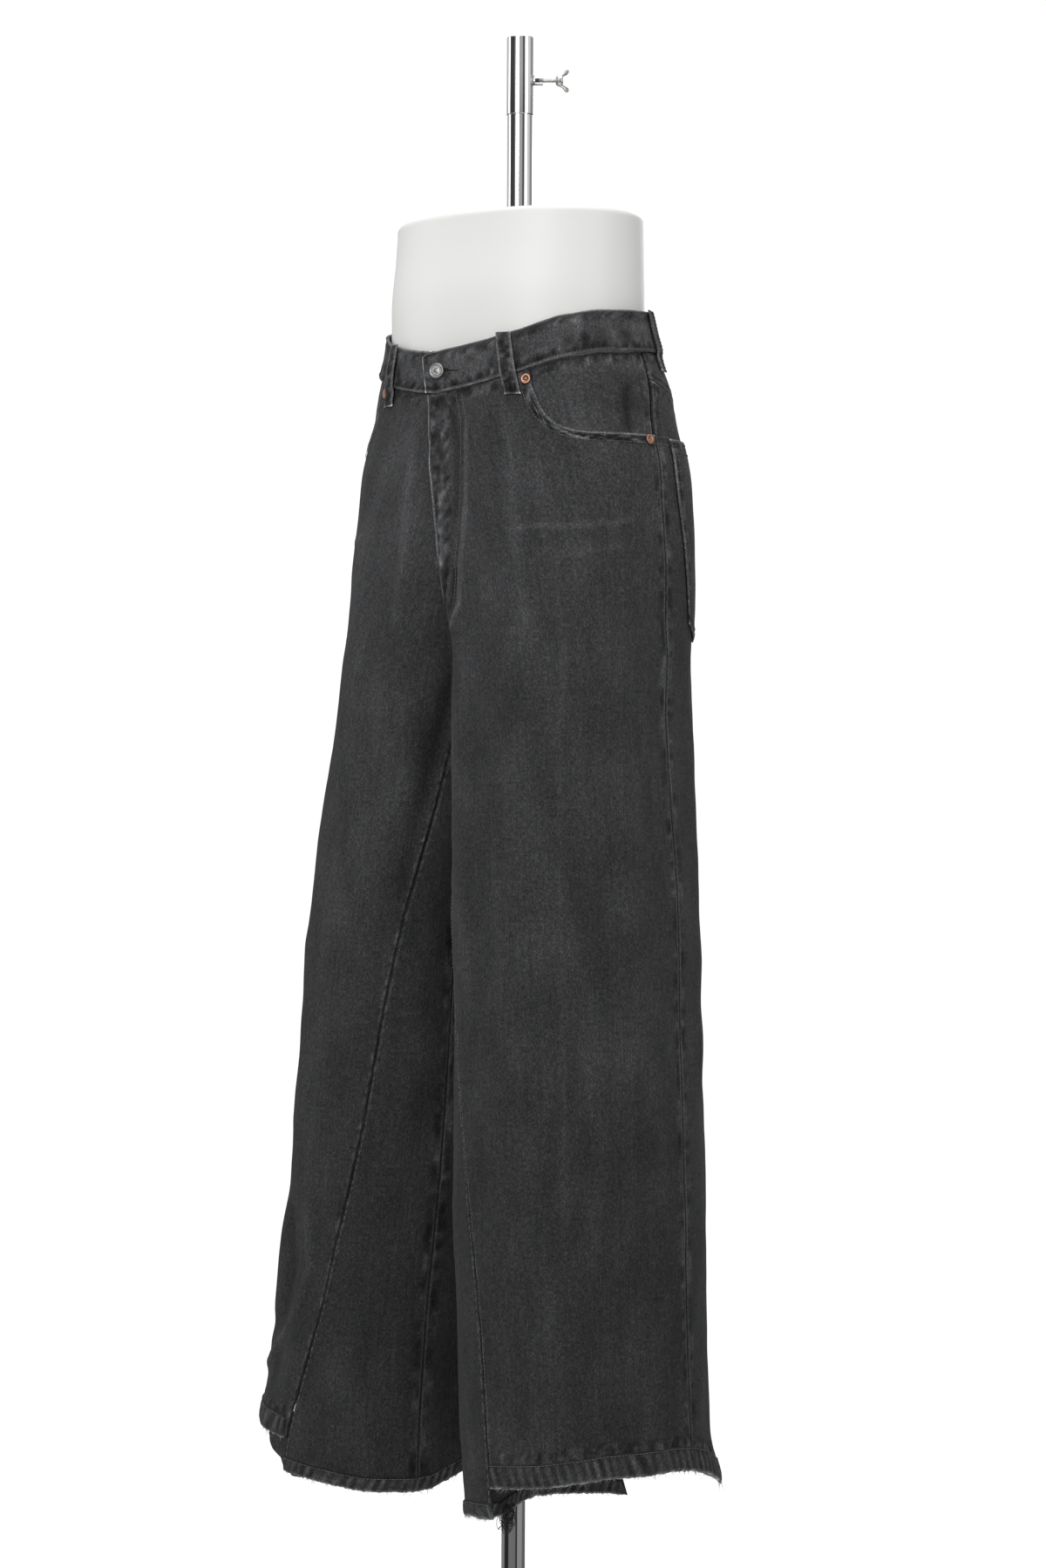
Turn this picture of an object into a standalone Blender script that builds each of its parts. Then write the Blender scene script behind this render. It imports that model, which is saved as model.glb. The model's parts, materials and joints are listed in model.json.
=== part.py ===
"""Wide washed-denim jeans on a limbless hip form, its chromed stand below and clamp socket above.

Metres, +Z up, -Y the wearer's front, +X the wearer's left. The origin is the middle of the base
plate's underside, on the stand's axis. The garment has its own frame, whose X = 0 plane holds the
crotch seam; it sits beside the stand's axis, so the pole runs down inside the right leg.
"""

import math

import bmesh
import bpy
import numpy as np
from mathutils import Matrix, Vector

# ---------------------------------------------------------------------------- driving sizes
GARMENT_AT = (0.022, -0.024, 0.0)   # the garment's frame, seen from the stand's axis
GAP = 0.0003                        # between pieces that are sewn or seated together
DENIM = 0.0015                      # wall of one layer of cloth
BAND_OUT = 0.0010                   # waistband's face, outside the panels' face
BAND_THICK = 0.0024
BAND_HEIGHT = 0.038
FLAP_LIFT = 0.0028                  # buttoned end of the band, raised over the other end
FLAP_FLAT_X = 0.012                 # the flap lies flat on the other end up to here
FLAP_EASE = 0.035                   # length over which it comes down to the band's own face

CROTCH_Z = 0.9420                   # lowest point of the seat seam
HEM_LEVEL_Z = 0.260                 # below it the rows of the panels turn to follow their hems
LEVEL_Z = 1.100                     # above it they turn to follow their tops
INSEAM_PHI = -152.0                 # inner-leg seam, on each leg's own angle
MID_SEAM_PHI = 360.0 + INSEAM_PHI   # the same line, where it becomes the insert's own seam
APEX_Z = 0.928                      # tip of the triangular insert

# Half a body or a leg at each height: reaches from the leg's own centre, and exponents of the
# rounded corners (2 is an ellipse). Where the inner reach passes X = 0 the piece ends there.
RING_COLUMNS = ("z", "centre_x", "outer", "inner", "centre_y", "front", "back", "n_outer", "n_inner")
RINGS = np.array((
    (0.150, 0.1310, 0.110, 0.1090, -0.036, 0.113, 0.1210, 2.00, 2.00),
    (0.200, 0.1290, 0.109, 0.1090, -0.037, 0.113, 0.1200, 2.00, 2.00),
    (0.327, 0.1210, 0.107, 0.1090, -0.035, 0.112, 0.1180, 2.00, 2.00),
    (0.490, 0.1090, 0.104, 0.1040, -0.026, 0.114, 0.1190, 2.05, 2.20),
    (0.652, 0.0980, 0.102, 0.0920, -0.020, 0.114, 0.1170, 2.10, 2.37),
    (0.730, 0.0910, 0.102, 0.0860, -0.017, 0.114, 0.1170, 2.10, 2.54),
    (0.815, 0.0830, 0.097, 0.0790, -0.013, 0.113, 0.1180, 2.20, 2.85),
    (0.880, 0.0760, 0.095, 0.0730, -0.009, 0.111, 0.1210, 2.25, 3.20),
    (0.937, 0.0690, 0.099, 0.0670, -0.004, 0.110, 0.1180, 2.30, 3.40),
    (0.961, 0.0630, 0.103, 0.0700, -0.002, 0.110, 0.1200, 2.33, 3.30),
    (0.980, 0.0580, 0.108, 0.0705, -0.001, 0.110, 0.1220, 2.35, 3.20),
    (1.018, 0.0480, 0.119, 0.0700, 0.001, 0.110, 0.1215, 2.35, 3.00),
    (1.060, 0.0350, 0.131, 0.0670, 0.003, 0.108, 0.1210, 2.35, 2.80),
    (1.108, 0.0200, 0.145, 0.0720, 0.005, 0.108, 0.1160, 2.30, 2.50),
    (1.140, 0.0090, 0.150, 0.1100, 0.005, 0.106, 0.1110, 2.25, 2.30),
    (1.173, 0.0000, 0.1545, 0.1545, 0.005, 0.105, 0.1070, 2.20, 2.20),
    (1.205, 0.0000, 0.1440, 0.1440, 0.004, 0.104, 0.1020, 2.10, 2.10),
    (1.235, 0.0000, 0.1355, 0.1355, 0.004, 0.103, 0.0980, 2.10, 2.10),
    (1.275, 0.0000, 0.1310, 0.1310, 0.004, 0.101, 0.0960, 2.10, 2.10),
))

# Seams and edges: phi runs round a leg in degrees, 0 outermost, 90 behind, -90 in front.
SIDE_SEAM = (("z", "phi"), (0.15, 14.0), (0.35, 15.0), (0.55, 17.0), (0.80, 17.0), (0.93, 18.0),
             (1.00, 12.5), (1.07, 6.5), (1.12, 3.5), (1.21, 5.0))
INSERT_FRONT = (("z", "left", "right"), (0.15, -92.0, -82.0), (0.20, -92.0, -82.0),
                (0.25, -93.5, -88.0), (0.336, -97.0, -99.5), (0.42, -102.0, -106.5),
                (0.50, -108.0, -113.0), (0.60, -117.0, -118.0), (0.70, -124.5, -124.5),
                (0.786, -132.0, -133.0), (0.846, -138.0, -138.0), (APEX_Z, -150.0, -150.0))
INSERT_BACK = (("z", "phi"), (0.15, 114.0), (0.25, 126.0), (0.336, 139.0), (0.42, 150.0),
               (0.50, 160.0), (0.60, 171.0), (0.70, 181.0), (0.786, 190.0), (0.846, 196.0),
               (APEX_Z, 206.0))
WAIST_TOP = (("phi", "z"), (-90, 1.2060), (-75, 1.2090), (-60, 1.2140), (-45, 1.2215),
             (-30, 1.2330), (-15, 1.2395), (0, 1.2420), (30, 1.2460), (60, 1.2484),
             (78, 1.2490), (90, 1.2490))
YOKE_SEAM = (("phi", "z"), (0, 1.183), (20, 1.167), (45, 1.152), (90, 1.138))
POCKET_EDGE = (("phi", "z"), (-41.0, 1.184), (-40.0, 1.152), (-38.0, 1.143), (-35.0, 1.135),
               (-30.0, 1.130), (-24.0, 1.128), (12.0, 1.129))
HEM = {
    "left": (("phi", "z"), (-95, 0.200), (-64, 0.206), (-35, 0.2145), (0, 0.216), (15, 0.213),
             (30, 0.206), (45, 0.193), (60, 0.190), (90, 0.192), (120, 0.190)),
    "right": (("phi", "z"), (-95, 0.211), (-80, 0.211), (-50, 0.217), (-30, 0.222), (0, 0.222),
              (15, 0.218), (45, 0.190), (75, 0.174), (100, 0.172), (140, 0.175)),
}
INSERT_HEM = {
    "left": (("phi", "z"), (110, 0.159), (122, 0.161), (160, 0.161), (169, 0.1555), (174, 0.152),
             (180, 0.147), (190, 0.147), (198, 0.149), (209, 0.157), (225, 0.163), (250, 0.171),
             (270, 0.174)),
    "right": (("phi", "z"), (130, 0.175), (155, 0.186), (180, 0.186), (186, 0.183), (202, 0.170),
              (210, 0.168), (234, 0.169), (252, 0.174), (280, 0.181)),
}
BACK_POCKET = (("z", "outer", "inner"), (0.961, 38.0, 74.0), (1.010, 28.0, 72.0),
               (1.052, 20.0, 70.0), (1.093, 13.5, 68.0), (1.126, 11.0, 66.0))
BACK_POCKET_POINT = 0.016           # how far the pocket's bottom point hangs below its corners

# Largest folds, as ridges (+) or troughs (-) along straight runs over the unrolled leg.
FOLD_COLUMNS = ("side", "z_from", "phi_from", "z_to", "phi_to", "half_width", "height")
FOLDS = (
    ("right", 0.925, -138.0, 0.770, -128.0, 0.016, -0.0045),
    ("right", 0.560, -146.0, 0.330, -132.0, 0.022, -0.0035),
    ("right", 0.430, -62.0, 0.255, -44.0, 0.018, 0.0040),
    ("right", 0.420, -78.0, 0.240, -62.0, 0.016, -0.0040),
    ("right", 0.900, 120.0, 0.640, 112.0, 0.022, -0.0040),
    ("left", 0.900, 122.0, 0.660, 110.0, 0.022, -0.0040),
    ("left", 0.600, -66.0, 0.300, -60.0, 0.030, -0.0020),
    ("left", 0.560, 60.0, 0.260, 70.0, 0.026, 0.0035),
    ("left", 0.520, 96.0, 0.240, 100.0, 0.024, -0.0040),
    ("right", 0.520, 84.0, 0.240, 92.0, 0.024, -0.0035),
)
FOLD_RADIUS = 0.110                 # the leg's mean radius, to measure across folds in metres

# Hem corners that stand out from the leg: where, how wide, how far, and up to what height.
FLARE_COLUMNS = ("side", "phi", "half_angle", "reach", "top_z", "rise")
FLARES = (
    ("left", 50.0, 26.0, 0.008, 0.240, 0.055),
    ("left", -135.0, 24.0, -0.004, 0.250, 0.070),
    ("right", -50.0, 30.0, 0.009, 0.290, 0.070),
)
# The right leg is pushed aside by the pole that stands inside it.
POLE_BULGE_PHI = 149.0
POLE_BULGE_HALF_ANGLE = 24.0
POLE_BULGE = (("z", "reach"), (0.150, 0.031), (0.240, 0.027), (0.327, 0.0220), (0.480, 0.0105),
              (0.586, 0.0065), (0.700, 0.0035), (0.860, 0.0))

# Hip form: half-widths and half-depths about the garment's frame.
FORM = (("z", "side", "front", "back"), (1.044, 0.104, 0.064, 0.078), (1.050, 0.118, 0.074, 0.090),
        (1.066, 0.129, 0.080, 0.097), (1.100, 0.139, 0.087, 0.101), (1.150, 0.143, 0.092, 0.100),
        (1.200, 0.1335, 0.0935, 0.0965), (1.230, 0.1300, 0.0950, 0.0935), (1.260, 0.1300, 0.0950, 0.0930),
        (1.300, 0.1287, 0.0890, 0.0932), (1.328, 0.1280, 0.0865, 0.0928), (1.333, 0.1260, 0.0845, 0.0908),
        (1.334, 0.1230, 0.0815, 0.0878))
FORM_EXPONENT = 2.2

# Stand.
BASE_RADIUS = 0.170
BASE_THICK = 0.008
BASE_EDGE = 0.0015                  # bevels, here and below
COLLAR_RADIUS = 0.021
COLLAR_TOP = 0.040
COLLAR_EDGE = 0.003
POLE_RADIUS = 0.011
POST_RADIUS = 0.012
SLEEVE_RADIUS = 0.0127
SLEEVE_BORE = 0.0105
SLEEVE_FROM = 1.4386
SLEEVE_TO = 1.5110
SLEEVE_FLOOR = 0.009                # solid end below the bore
SLEEVE_EDGE = 0.0008
SCREW_Z = 1.4710
SCREW_AZIMUTH = 45.0
SCREW_ROD = 0.00165
SCREW_TIP_AT = 0.0093               # this and the next three: distances from the stand's axis
BOSS_FROM = 0.0114
BOSS_TO = 0.0215
SCREW_HUB_AT = 0.0330
SCREW_HOLE_FROM = 0.0040
BOSS_RADIUS = 0.0043
SCREW_HUB_LONG = 0.0070
SCREW_HUB_RADIUS = 0.0050
WING_FROM = 0.0334
WING_THICK = 0.0022
# One wing, from the screw's own axis and from the wing's foot, run round its edge.
WING_OUTLINE = ((0.0010, 0.0), (0.0052, 0.0022), (0.0076, 0.0070), (0.0102, 0.0078), (0.0110, 0.0092),
                (0.0104, 0.0112), (0.0080, 0.0120), (0.0058, 0.0105), (0.0034, 0.0058), (0.0010, 0.0050))

# Smaller pieces of cloth.
POCKET_STANDS = 0.0016              # back pockets, outside the panels' own face
POCKET_LEVELS = (0.961, 0.985, 1.010, 1.052, 1.093, 1.126)
POCKET_POINT_FROM_Z = 1.030         # the pocket's bottom starts to hang to its point below this
FACING_FROM_PHI = -46.0             # front end of the piece that shows inside the pocket's mouth
FACING_SIDE_PHI = 0.6               # its side edge, short of the side seam
FACING_FROM_Z = 1.108
FACING_BELOW_BAND = 0.0008
FACING_THICK = 0.0012
FACING_SUNK = 0.0031                # its face, behind the panels' own face
FLY_STANDS = 0.0018                 # the fly's overlap, in front of the panels' own face
FLY_FROM_Z = 0.968
FLY_TO_Z = 1.1655
FLY_REACH = (-0.0005, -0.0120)      # its free edge, at its lower and its upper end
FLY_COLUMNS_X = (0.0, 0.006, 0.012)
BAND_ENDS = (-7.6, 357.0)           # buttoned end and covered end, as angles round the waist
LOOP_WIDTH = 0.0135
LOOP_LENGTH = 0.057
LOOP_THICK = 0.0018
LOOP_ARCH = 0.0030
LOOP_CLEAR = 0.0006                 # its ends, off the band's own face
LOOP_ABOVE_BAND = 0.0012
LOOPS = (("name", "angle"), ("loop_front_left", 38.5), ("loop_side_left", 107.0), ("loop_back", 180.0),
         ("loop_side_right", 253.0), ("loop_front_right", 323.5))

# Metal trim.
BUTTON_ANGLE = 2.6
BUTTON_Z = 1.1875
BUTTON_RADIUS = 0.0069
BUTTON_HIGH = 0.0046
BUTTON_EDGE = 0.0004                # the rim's rounding
BUTTON_SHANK = 0.0030
RIVET_RADIUS = 0.0048
RIVET_HIGH = 0.0014
RIVET_LIFT = 0.0004                 # its foot, off the cloth
RIVETS = (("name", "side", "phi", "z"), ("rivet_left_inner", "left", -43.0, 1.176),
          ("rivet_left_outer", "left", 0.0, 1.1235), ("rivet_right_inner", "right", -47.0, 1.175),
          ("rivet_right_outer", "right", 0.0, 1.1235))


# ---------------------------------------------------------------------------- tables
def column(table, name):
    return np.array([row[table[0].index(name)] for row in table[1:]], float)


def along(table, at, value):
    """Straight interpolation in a small table, from its first column to the named one."""
    return lambda x: np.interp(x, column(table, at), column(table, value))


def eased(x):
    x = np.clip(x, 0.0, 1.0)
    return x * x * (3.0 - 2.0 * x)


# ---------------------------------------------------------------------------- the cloth's form
RING_SLOPES = np.gradient(RINGS, RINGS[:, 0], axis=0)


def ring_at(z):
    """Ring values at z, on a smooth curve through the rows of RINGS."""
    heights = RINGS[:, 0]
    z = np.clip(z, heights[0], heights[-1])
    i = np.clip(np.searchsorted(heights, z) - 1, 0, len(heights) - 2)
    step = np.diff(heights)[i]
    t = (z - heights[i]) / step
    values = []
    start, end = 2 * t**3 - 3 * t**2 + 1, -2 * t**3 + 3 * t**2
    rise, fall = (t**3 - 2 * t**2 + t) * step, (t**3 - t**2) * step
    for index in range(1, len(RING_COLUMNS)):
        row, slope = RINGS[:, index], RING_SLOPES[:, index]
        values.append(start * row[i] + end * row[i + 1] + rise * slope[i] + fall * slope[i + 1])
    values[0] = np.maximum(values[0], 0.0)
    return values


def wrapped(degrees):
    return (degrees + 180.0) % 360.0 - 180.0


def folds_at(side, phi, z):
    """Height of the folds, flares and the pole's push at a point of a leg."""
    total = 0.0 * phi * z
    for fold_side, z_from, phi_from, z_to, phi_to, half_width, height in FOLDS:
        if fold_side != side:
            continue
        to_arc = math.radians(1.0) * FOLD_RADIUS
        run = np.array((wrapped(phi_to - phi_from) * to_arc, z_to - z_from))
        length = np.hypot(*run)
        across = wrapped(phi - phi_from) * to_arc
        up = z - z_from
        share = (across * run[0] + up * run[1]) / length**2
        distance = (across * run[1] - up * run[0]) / length
        ends = eased(share / 0.3 + 0.25) * eased((1.0 - share) / 0.3 + 0.25)
        total = total + height * np.exp(-(distance / half_width) ** 2) * ends
    for flare_side, at, half_angle, reach, top_z, rise in FLARES:
        if flare_side == side:
            near = np.exp(-(wrapped(phi - at) / half_angle) ** 2)
            total = total + reach * near * eased((top_z - z) / rise)
    if side == "right":
        near = np.exp(-(wrapped(phi - POLE_BULGE_PHI) / POLE_BULGE_HALF_ANGLE) ** 2)
        total = total + along(POLE_BULGE, "z", "reach")(z) * near
    return total


def surface(side, phi, z):
    """Outer face of the cloth, in the garment's frame. phi in degrees on the leg's own angle."""
    phi, z = np.broadcast_arrays(np.asarray(phi, float), np.asarray(z, float))
    centre_x, outer, inner, centre_y, front, back, n_outer, n_inner = ring_at(z)
    c, s = np.cos(np.radians(phi)), np.sin(np.radians(phi))
    n = np.where(c > 0, n_outer, n_inner)
    reach_x = np.where(c > 0, outer, inner)
    reach_y = np.where(s > 0, back, front)
    r = ((np.abs(c) / reach_x) ** n + (np.abs(s) / reach_y) ** n) ** (-1.0 / n)
    r = r + folds_at(side, phi, z)
    mirror = 1.0 if side == "left" else -1.0
    return np.stack((mirror * (centre_x + r * c), centre_y + r * s, z), axis=-1)


def normals(side, phi, z):
    """Unit normals of the cloth's form, pointing out of the leg."""
    step_phi, step_z = 0.05, 0.0002
    d_phi = surface(side, phi + step_phi, z) - surface(side, phi - step_phi, z)
    d_z = surface(side, phi, z + step_z) - surface(side, phi, z - step_z)
    normal = np.cross(d_phi, d_z) * (1.0 if side == "left" else -1.0)
    return normal / np.linalg.norm(normal, axis=-1, keepdims=True)


def phi_at_x(z, towards, x):
    """Angle at which the left leg's form meets a plane of constant X, in front (-1) or behind (+1)."""
    near, far = np.full_like(z, 90.0 * towards), np.full_like(z, 180.0 * towards)
    for _ in range(24):
        middle = 0.5 * (near + far)
        beyond = surface("left", middle, z)[..., 0] < x
        near, far = np.where(beyond, near, middle), np.where(beyond, middle, far)
    return near


PLANE_Z = np.concatenate((np.linspace(0.936, 0.966, 241), np.linspace(0.967, 1.260, 200)))
PLANE_PHI = {towards: phi_at_x(PLANE_Z, float(towards), GAP / 2) for towards in (-1, 1)}


def phi_at_plane(z, towards):
    """Angle of the seam between the two legs' halves, where the form meets the plane between them."""
    return np.interp(z, PLANE_Z, PLANE_PHI[towards])


HALF_SEAM_PHI = math.degrees(0.5 * GAP / 0.100)     # half a gap, as an angle


# ---------------------------------------------------------------------------- edges of the pieces
def waist_seam(phi):
    return along(WAIST_TOP, "phi", "z")(np.abs(wrapped(phi + 90.0)) - 90.0) - BAND_HEIGHT


def front_inner_phi(side, z):
    """Centre-front seam above the crotch, inner-leg seam and insert seam below."""
    below = np.where(z > APEX_Z, INSEAM_PHI, along(INSERT_FRONT, "z", side)(z))
    return np.where(z > CROTCH_Z, np.maximum(phi_at_plane(z, -1), INSEAM_PHI), below + HALF_SEAM_PHI)


def back_inner_phi(z):
    """Seat seam above the crotch, inner-leg seam and insert seam below."""
    below = np.where(z > APEX_Z, MID_SEAM_PHI, along(INSERT_BACK, "z", "phi")(z))
    return np.where(z > CROTCH_Z, phi_at_plane(z, 1), below - HALF_SEAM_PHI)


def side_phi(z, towards):
    return along(SIDE_SEAM, "z", "phi")(z) + towards * HALF_SEAM_PHI


def insert_phi(side, z, which, towards):
    if which == "mid":
        phi = MID_SEAM_PHI + 0.0 * z
    elif which == "front":
        phi = 360.0 + along(INSERT_FRONT, "z", side)(z)
    else:
        phi = along(INSERT_BACK, "z", "phi")(z)
    return phi + towards * HALF_SEAM_PHI


# Heights of the panels' rows, shared so that the faces on both sides of a seam meet alike.
SHARED_LEVELS = (HEM_LEVEL_Z, 0.320, 0.380, 0.440, 0.500, 0.560, 0.620, 0.680, 0.740, 0.800, 0.850, 0.890,
                 APEX_Z - 0.008, APEX_Z, CROTCH_Z, 0.950, 0.961, 0.980, 1.005, 1.030, 1.060, LEVEL_Z)


def grid(left_phi, right_phi, bottom, top, shares, levels, rows_below=2, rows_above=0):
    """phi and z of a piece: rows at shared heights, turning to follow its bottom and its top."""
    shares = np.asarray(shares, float)
    rows = []

    def between(low, high, share):
        return lambda phi: low(phi) + (high(phi) - low(phi)) * share

    first, last = levels[0], levels[-1]
    for k in range(rows_below):
        height = between(bottom, lambda phi: first, k / rows_below)
        rows.append(moving_row(left_phi, right_phi, shares, height))
    for level in levels:
        rows.append(moving_row(left_phi, right_phi, shares, lambda phi, level=level: level + 0.0 * phi))
    for k in range(1, rows_above + 1):
        height = between(lambda phi: last, top, k / rows_above)
        rows.append(moving_row(left_phi, right_phi, shares, height))
    return np.array([r[0] for r in rows]), np.array([r[1] for r in rows])


def moving_row(left_phi, right_phi, shares, height):
    """One row of a piece whose height depends on the angle, which depends on the height."""
    z = height(left_phi(np.full_like(shares, 1.0)) * 0.0) + 0.0 * shares
    phi = shares * 0.0
    for _ in range(6):
        phi = left_phi(z) + (right_phi(z) - left_phi(z)) * shares
        z = height(phi) + 0.0 * shares
    return phi, z


# ---------------------------------------------------------------------------- meshes
def mesh_object(name, verts, faces, material):
    mesh = bpy.data.meshes.new(name)
    mesh.from_pydata([tuple(v) for v in verts], [], faces)
    mesh.update()
    obj = bpy.data.objects.new(name, mesh)
    MODEL.objects.link(obj)
    mesh.materials.append(material)
    mesh.shade_smooth()
    mesh.set_sharp_from_angle(angle=math.radians(40))
    return obj


def wall(name, outer, inner, material, flip, parent):
    """Closed wall between two like grids of points. Both faces split along the same diagonals."""
    rows, columns = outer.shape[:2]
    count = rows * columns
    verts = np.concatenate((outer.reshape(-1, 3), inner.reshape(-1, 3)))
    faces = []
    for i in range(rows - 1):
        for j in range(columns - 1):
            a = i * columns + j
            b, c, d = a + 1, a + 1 + columns, a + columns
            faces += [(a, b, c), (a, c, d)]
            faces += [(count + c, count + b, count + a), (count + d, count + c, count + a)]
    last_row, last_column = (rows - 1) * columns, columns - 1
    border = []
    for j in range(columns - 1):
        border += [(j, j + 1), (last_row + j + 1, last_row + j)]
    for i in range(rows - 1):
        row, next_row = i * columns, (i + 1) * columns
        border += [(next_row, row), (row + last_column, next_row + last_column)]
    faces += [(b, a, count + a, count + b) for a, b in border]
    if flip:
        faces = [tuple(reversed(face)) for face in faces]
    obj = mesh_object(name, verts, faces, material)
    obj.parent = parent
    return obj


def kept_on_side(side, points):
    """Points held off the plane between the legs, so the two halves never touch."""
    points = points.copy()
    if side == "left":
        points[..., 0] = np.maximum(points[..., 0], GAP / 2)
    else:
        points[..., 0] = np.minimum(points[..., 0], -GAP / 2)
    return points


def panel(name, side, phi, z, parent, out=0.0, thick=DENIM):
    """A cut piece of cloth: the leg's form over a grid of angles and heights, given its thickness."""
    points, normal = surface(side, phi, z), normals(side, phi, z)
    outer = kept_on_side(side, points + out * normal)
    inner = kept_on_side(side, points + (out - thick) * normal)
    return wall(name, outer, inner, DENIM_MATERIAL, side == "right", parent)


def turned(name, profile, material, segments=32):
    """Solid of revolution about Z from (radius, z) pairs, run from its top to its bottom."""
    mesh = bpy.data.meshes.new(name)
    points = [(radius, 0.0, z) for radius, z in profile]
    mesh.from_pydata(points, [(i, i + 1) for i in range(len(points) - 1)], [])
    obj = bpy.data.objects.new(name, mesh)
    MODEL.objects.link(obj)
    screw = obj.modifiers.new("Turn", "SCREW")
    screw.steps = screw.render_steps = segments
    screw.use_merge_vertices = True
    screw.merge_threshold = 0.00001
    screw.use_smooth_shade = True
    mesh.materials.append(material)
    return obj


# ---------------------------------------------------------------------------- materials
def principled(name, colour, roughness, metallic=0.0):
    material = bpy.data.materials.new(name)
    material.use_nodes = True
    shader = material.node_tree.nodes["Principled BSDF"]
    shader.inputs["Base Color"].default_value = (*colour, 1.0)
    shader.inputs["Roughness"].default_value = roughness
    shader.inputs["Metallic"].default_value = metallic
    material.diffuse_color = (*colour, 1.0)
    return material


# ---------------------------------------------------------------------------- legs and seat
FRONT_SHARES = (0.0, 0.12, 0.25, 0.37, 0.47, 0.497, 0.515, 0.545, 0.60, 0.69, 0.79, 0.89, 1.0)
BACK_SHARES = tuple(k / 12 for k in range(13))
INSERT_SHARES = {"front": tuple(k / 5 for k in range(6)), "back": tuple(k / 9 for k in range(10))}


def front_top(phi):
    """Top of a front panel: the waist seam, scooped by the pocket's mouth towards the side."""
    return np.minimum(waist_seam(phi), along(POCKET_EDGE, "phi", "z")(phi)) - GAP


def yoke_seam(phi):
    return along(YOKE_SEAM, "phi", "z")(phi)


def make_leg(side, parent):
    hem = along(HEM[side], "phi", "z")
    insert_hem = along(INSERT_HEM[side], "phi", "z")
    phi, z = grid(lambda z: front_inner_phi(side, z), lambda z: side_phi(z, -1), hem, front_top,
                  FRONT_SHARES, SHARED_LEVELS, rows_above=3)
    panel(f"front_{side}", side, phi, z, parent)
    phi, z = grid(lambda z: side_phi(z, 1), back_inner_phi, hem,
                  lambda phi: yoke_seam(phi) - GAP / 2, BACK_SHARES, SHARED_LEVELS, rows_above=1)
    panel(f"back_{side}", side, phi, z, parent)

    below_apex = SHARED_LEVELS[:SHARED_LEVELS.index(APEX_Z)]
    for which, ends in (("back", ("back", "mid")), ("front", ("mid", "front"))):
        phi, z = grid(lambda z: insert_phi(side, z, ends[0], 1), lambda z: insert_phi(side, z, ends[1], -1),
                      insert_hem, None, INSERT_SHARES[which], below_apex)
        panel(f"insert_{which}_{side}", side, phi, z, parent)


def make_yoke(side, parent):
    shares = np.arange(9) / 8
    rows = []
    for k in range(3):
        rows.append(moving_row(
            lambda z: side_phi(z, 1), lambda z: phi_at_plane(z, 1), shares,
            lambda phi, k=k: yoke_seam(phi) + GAP / 2
            + (waist_seam(phi) - GAP - yoke_seam(phi) - GAP / 2) * k / 2))
    panel(f"yoke_{side}", side, np.array([r[0] for r in rows]), np.array([r[1] for r in rows]), parent)


def make_facing(side, parent):
    """The piece that shows inside the pocket's mouth, a layer below the front panel."""
    shares = np.asarray(FRONT_SHARES[4:])
    shares = (shares - shares[0]) / (shares[-1] - shares[0])
    rows = []
    for k in range(4):
        rows.append(moving_row(
            lambda z: FACING_FROM_PHI + 0.0 * z, lambda z: side_phi(z, -1) - FACING_SIDE_PHI, shares,
            lambda phi, k=k: FACING_FROM_Z + (waist_seam(phi) - FACING_BELOW_BAND - FACING_FROM_Z) * k / 3))
    panel(f"pocket_facing_{side}", side, np.array([r[0] for r in rows]), np.array([r[1] for r in rows]),
          parent, out=-FACING_SUNK, thick=FACING_THICK)


def make_back_pocket(side, parent):
    shares = np.arange(9) / 8
    outer_edge, inner_edge = (along(BACK_POCKET, "z", edge) for edge in ("outer", "inner"))
    rows_phi, rows_z = [], []
    for level in POCKET_LEVELS:
        phi = outer_edge(level) + (inner_edge(level) - outer_edge(level)) * shares
        lowered = (POCKET_POINT_FROM_Z - level) / (POCKET_POINT_FROM_Z - POCKET_LEVELS[0])
        dip = BACK_POCKET_POINT * (1.0 - np.abs(2.0 * shares - 1.0)) * lowered
        rows_phi.append(phi)
        rows_z.append(level - np.maximum(dip, 0.0))
    panel(f"back_pocket_{side}", side, np.array(rows_phi), np.array(rows_z), parent,
          out=POCKET_STANDS + DENIM, thick=DENIM)


# ---------------------------------------------------------------------------- waistband and trim
def body_point(angle, z):
    """The garment's form all round: angle in degrees from the front, growing to the wearer's left."""
    left = np.sin(np.radians(angle)) >= 0.0
    phi = np.where(left, angle - 90.0, (-angle) % 360.0 - 90.0)
    return surface("left", phi, z) * np.stack((np.where(left, 1.0, -1.0), 1.0 + 0 * z, 1.0 + 0 * z), axis=-1)


def body_normal(angle, z):
    d_angle = body_point(angle + 0.1, z) - body_point(angle - 0.1, z)
    d_z = body_point(angle, z + 0.0005) - body_point(angle, z - 0.0005)
    normal = np.cross(d_angle, d_z)
    return normal / np.linalg.norm(normal, axis=-1, keepdims=True)


def band_top(angle):
    return along(WAIST_TOP, "phi", "z")(np.abs(wrapped(angle)) - 90.0)


def flap_lift(x):
    """The buttoned end lies over the other end, then eases down to the band's own face."""
    return FLAP_LIFT * (1.0 - eased((x - FLAP_FLAT_X) / FLAP_EASE))


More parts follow.
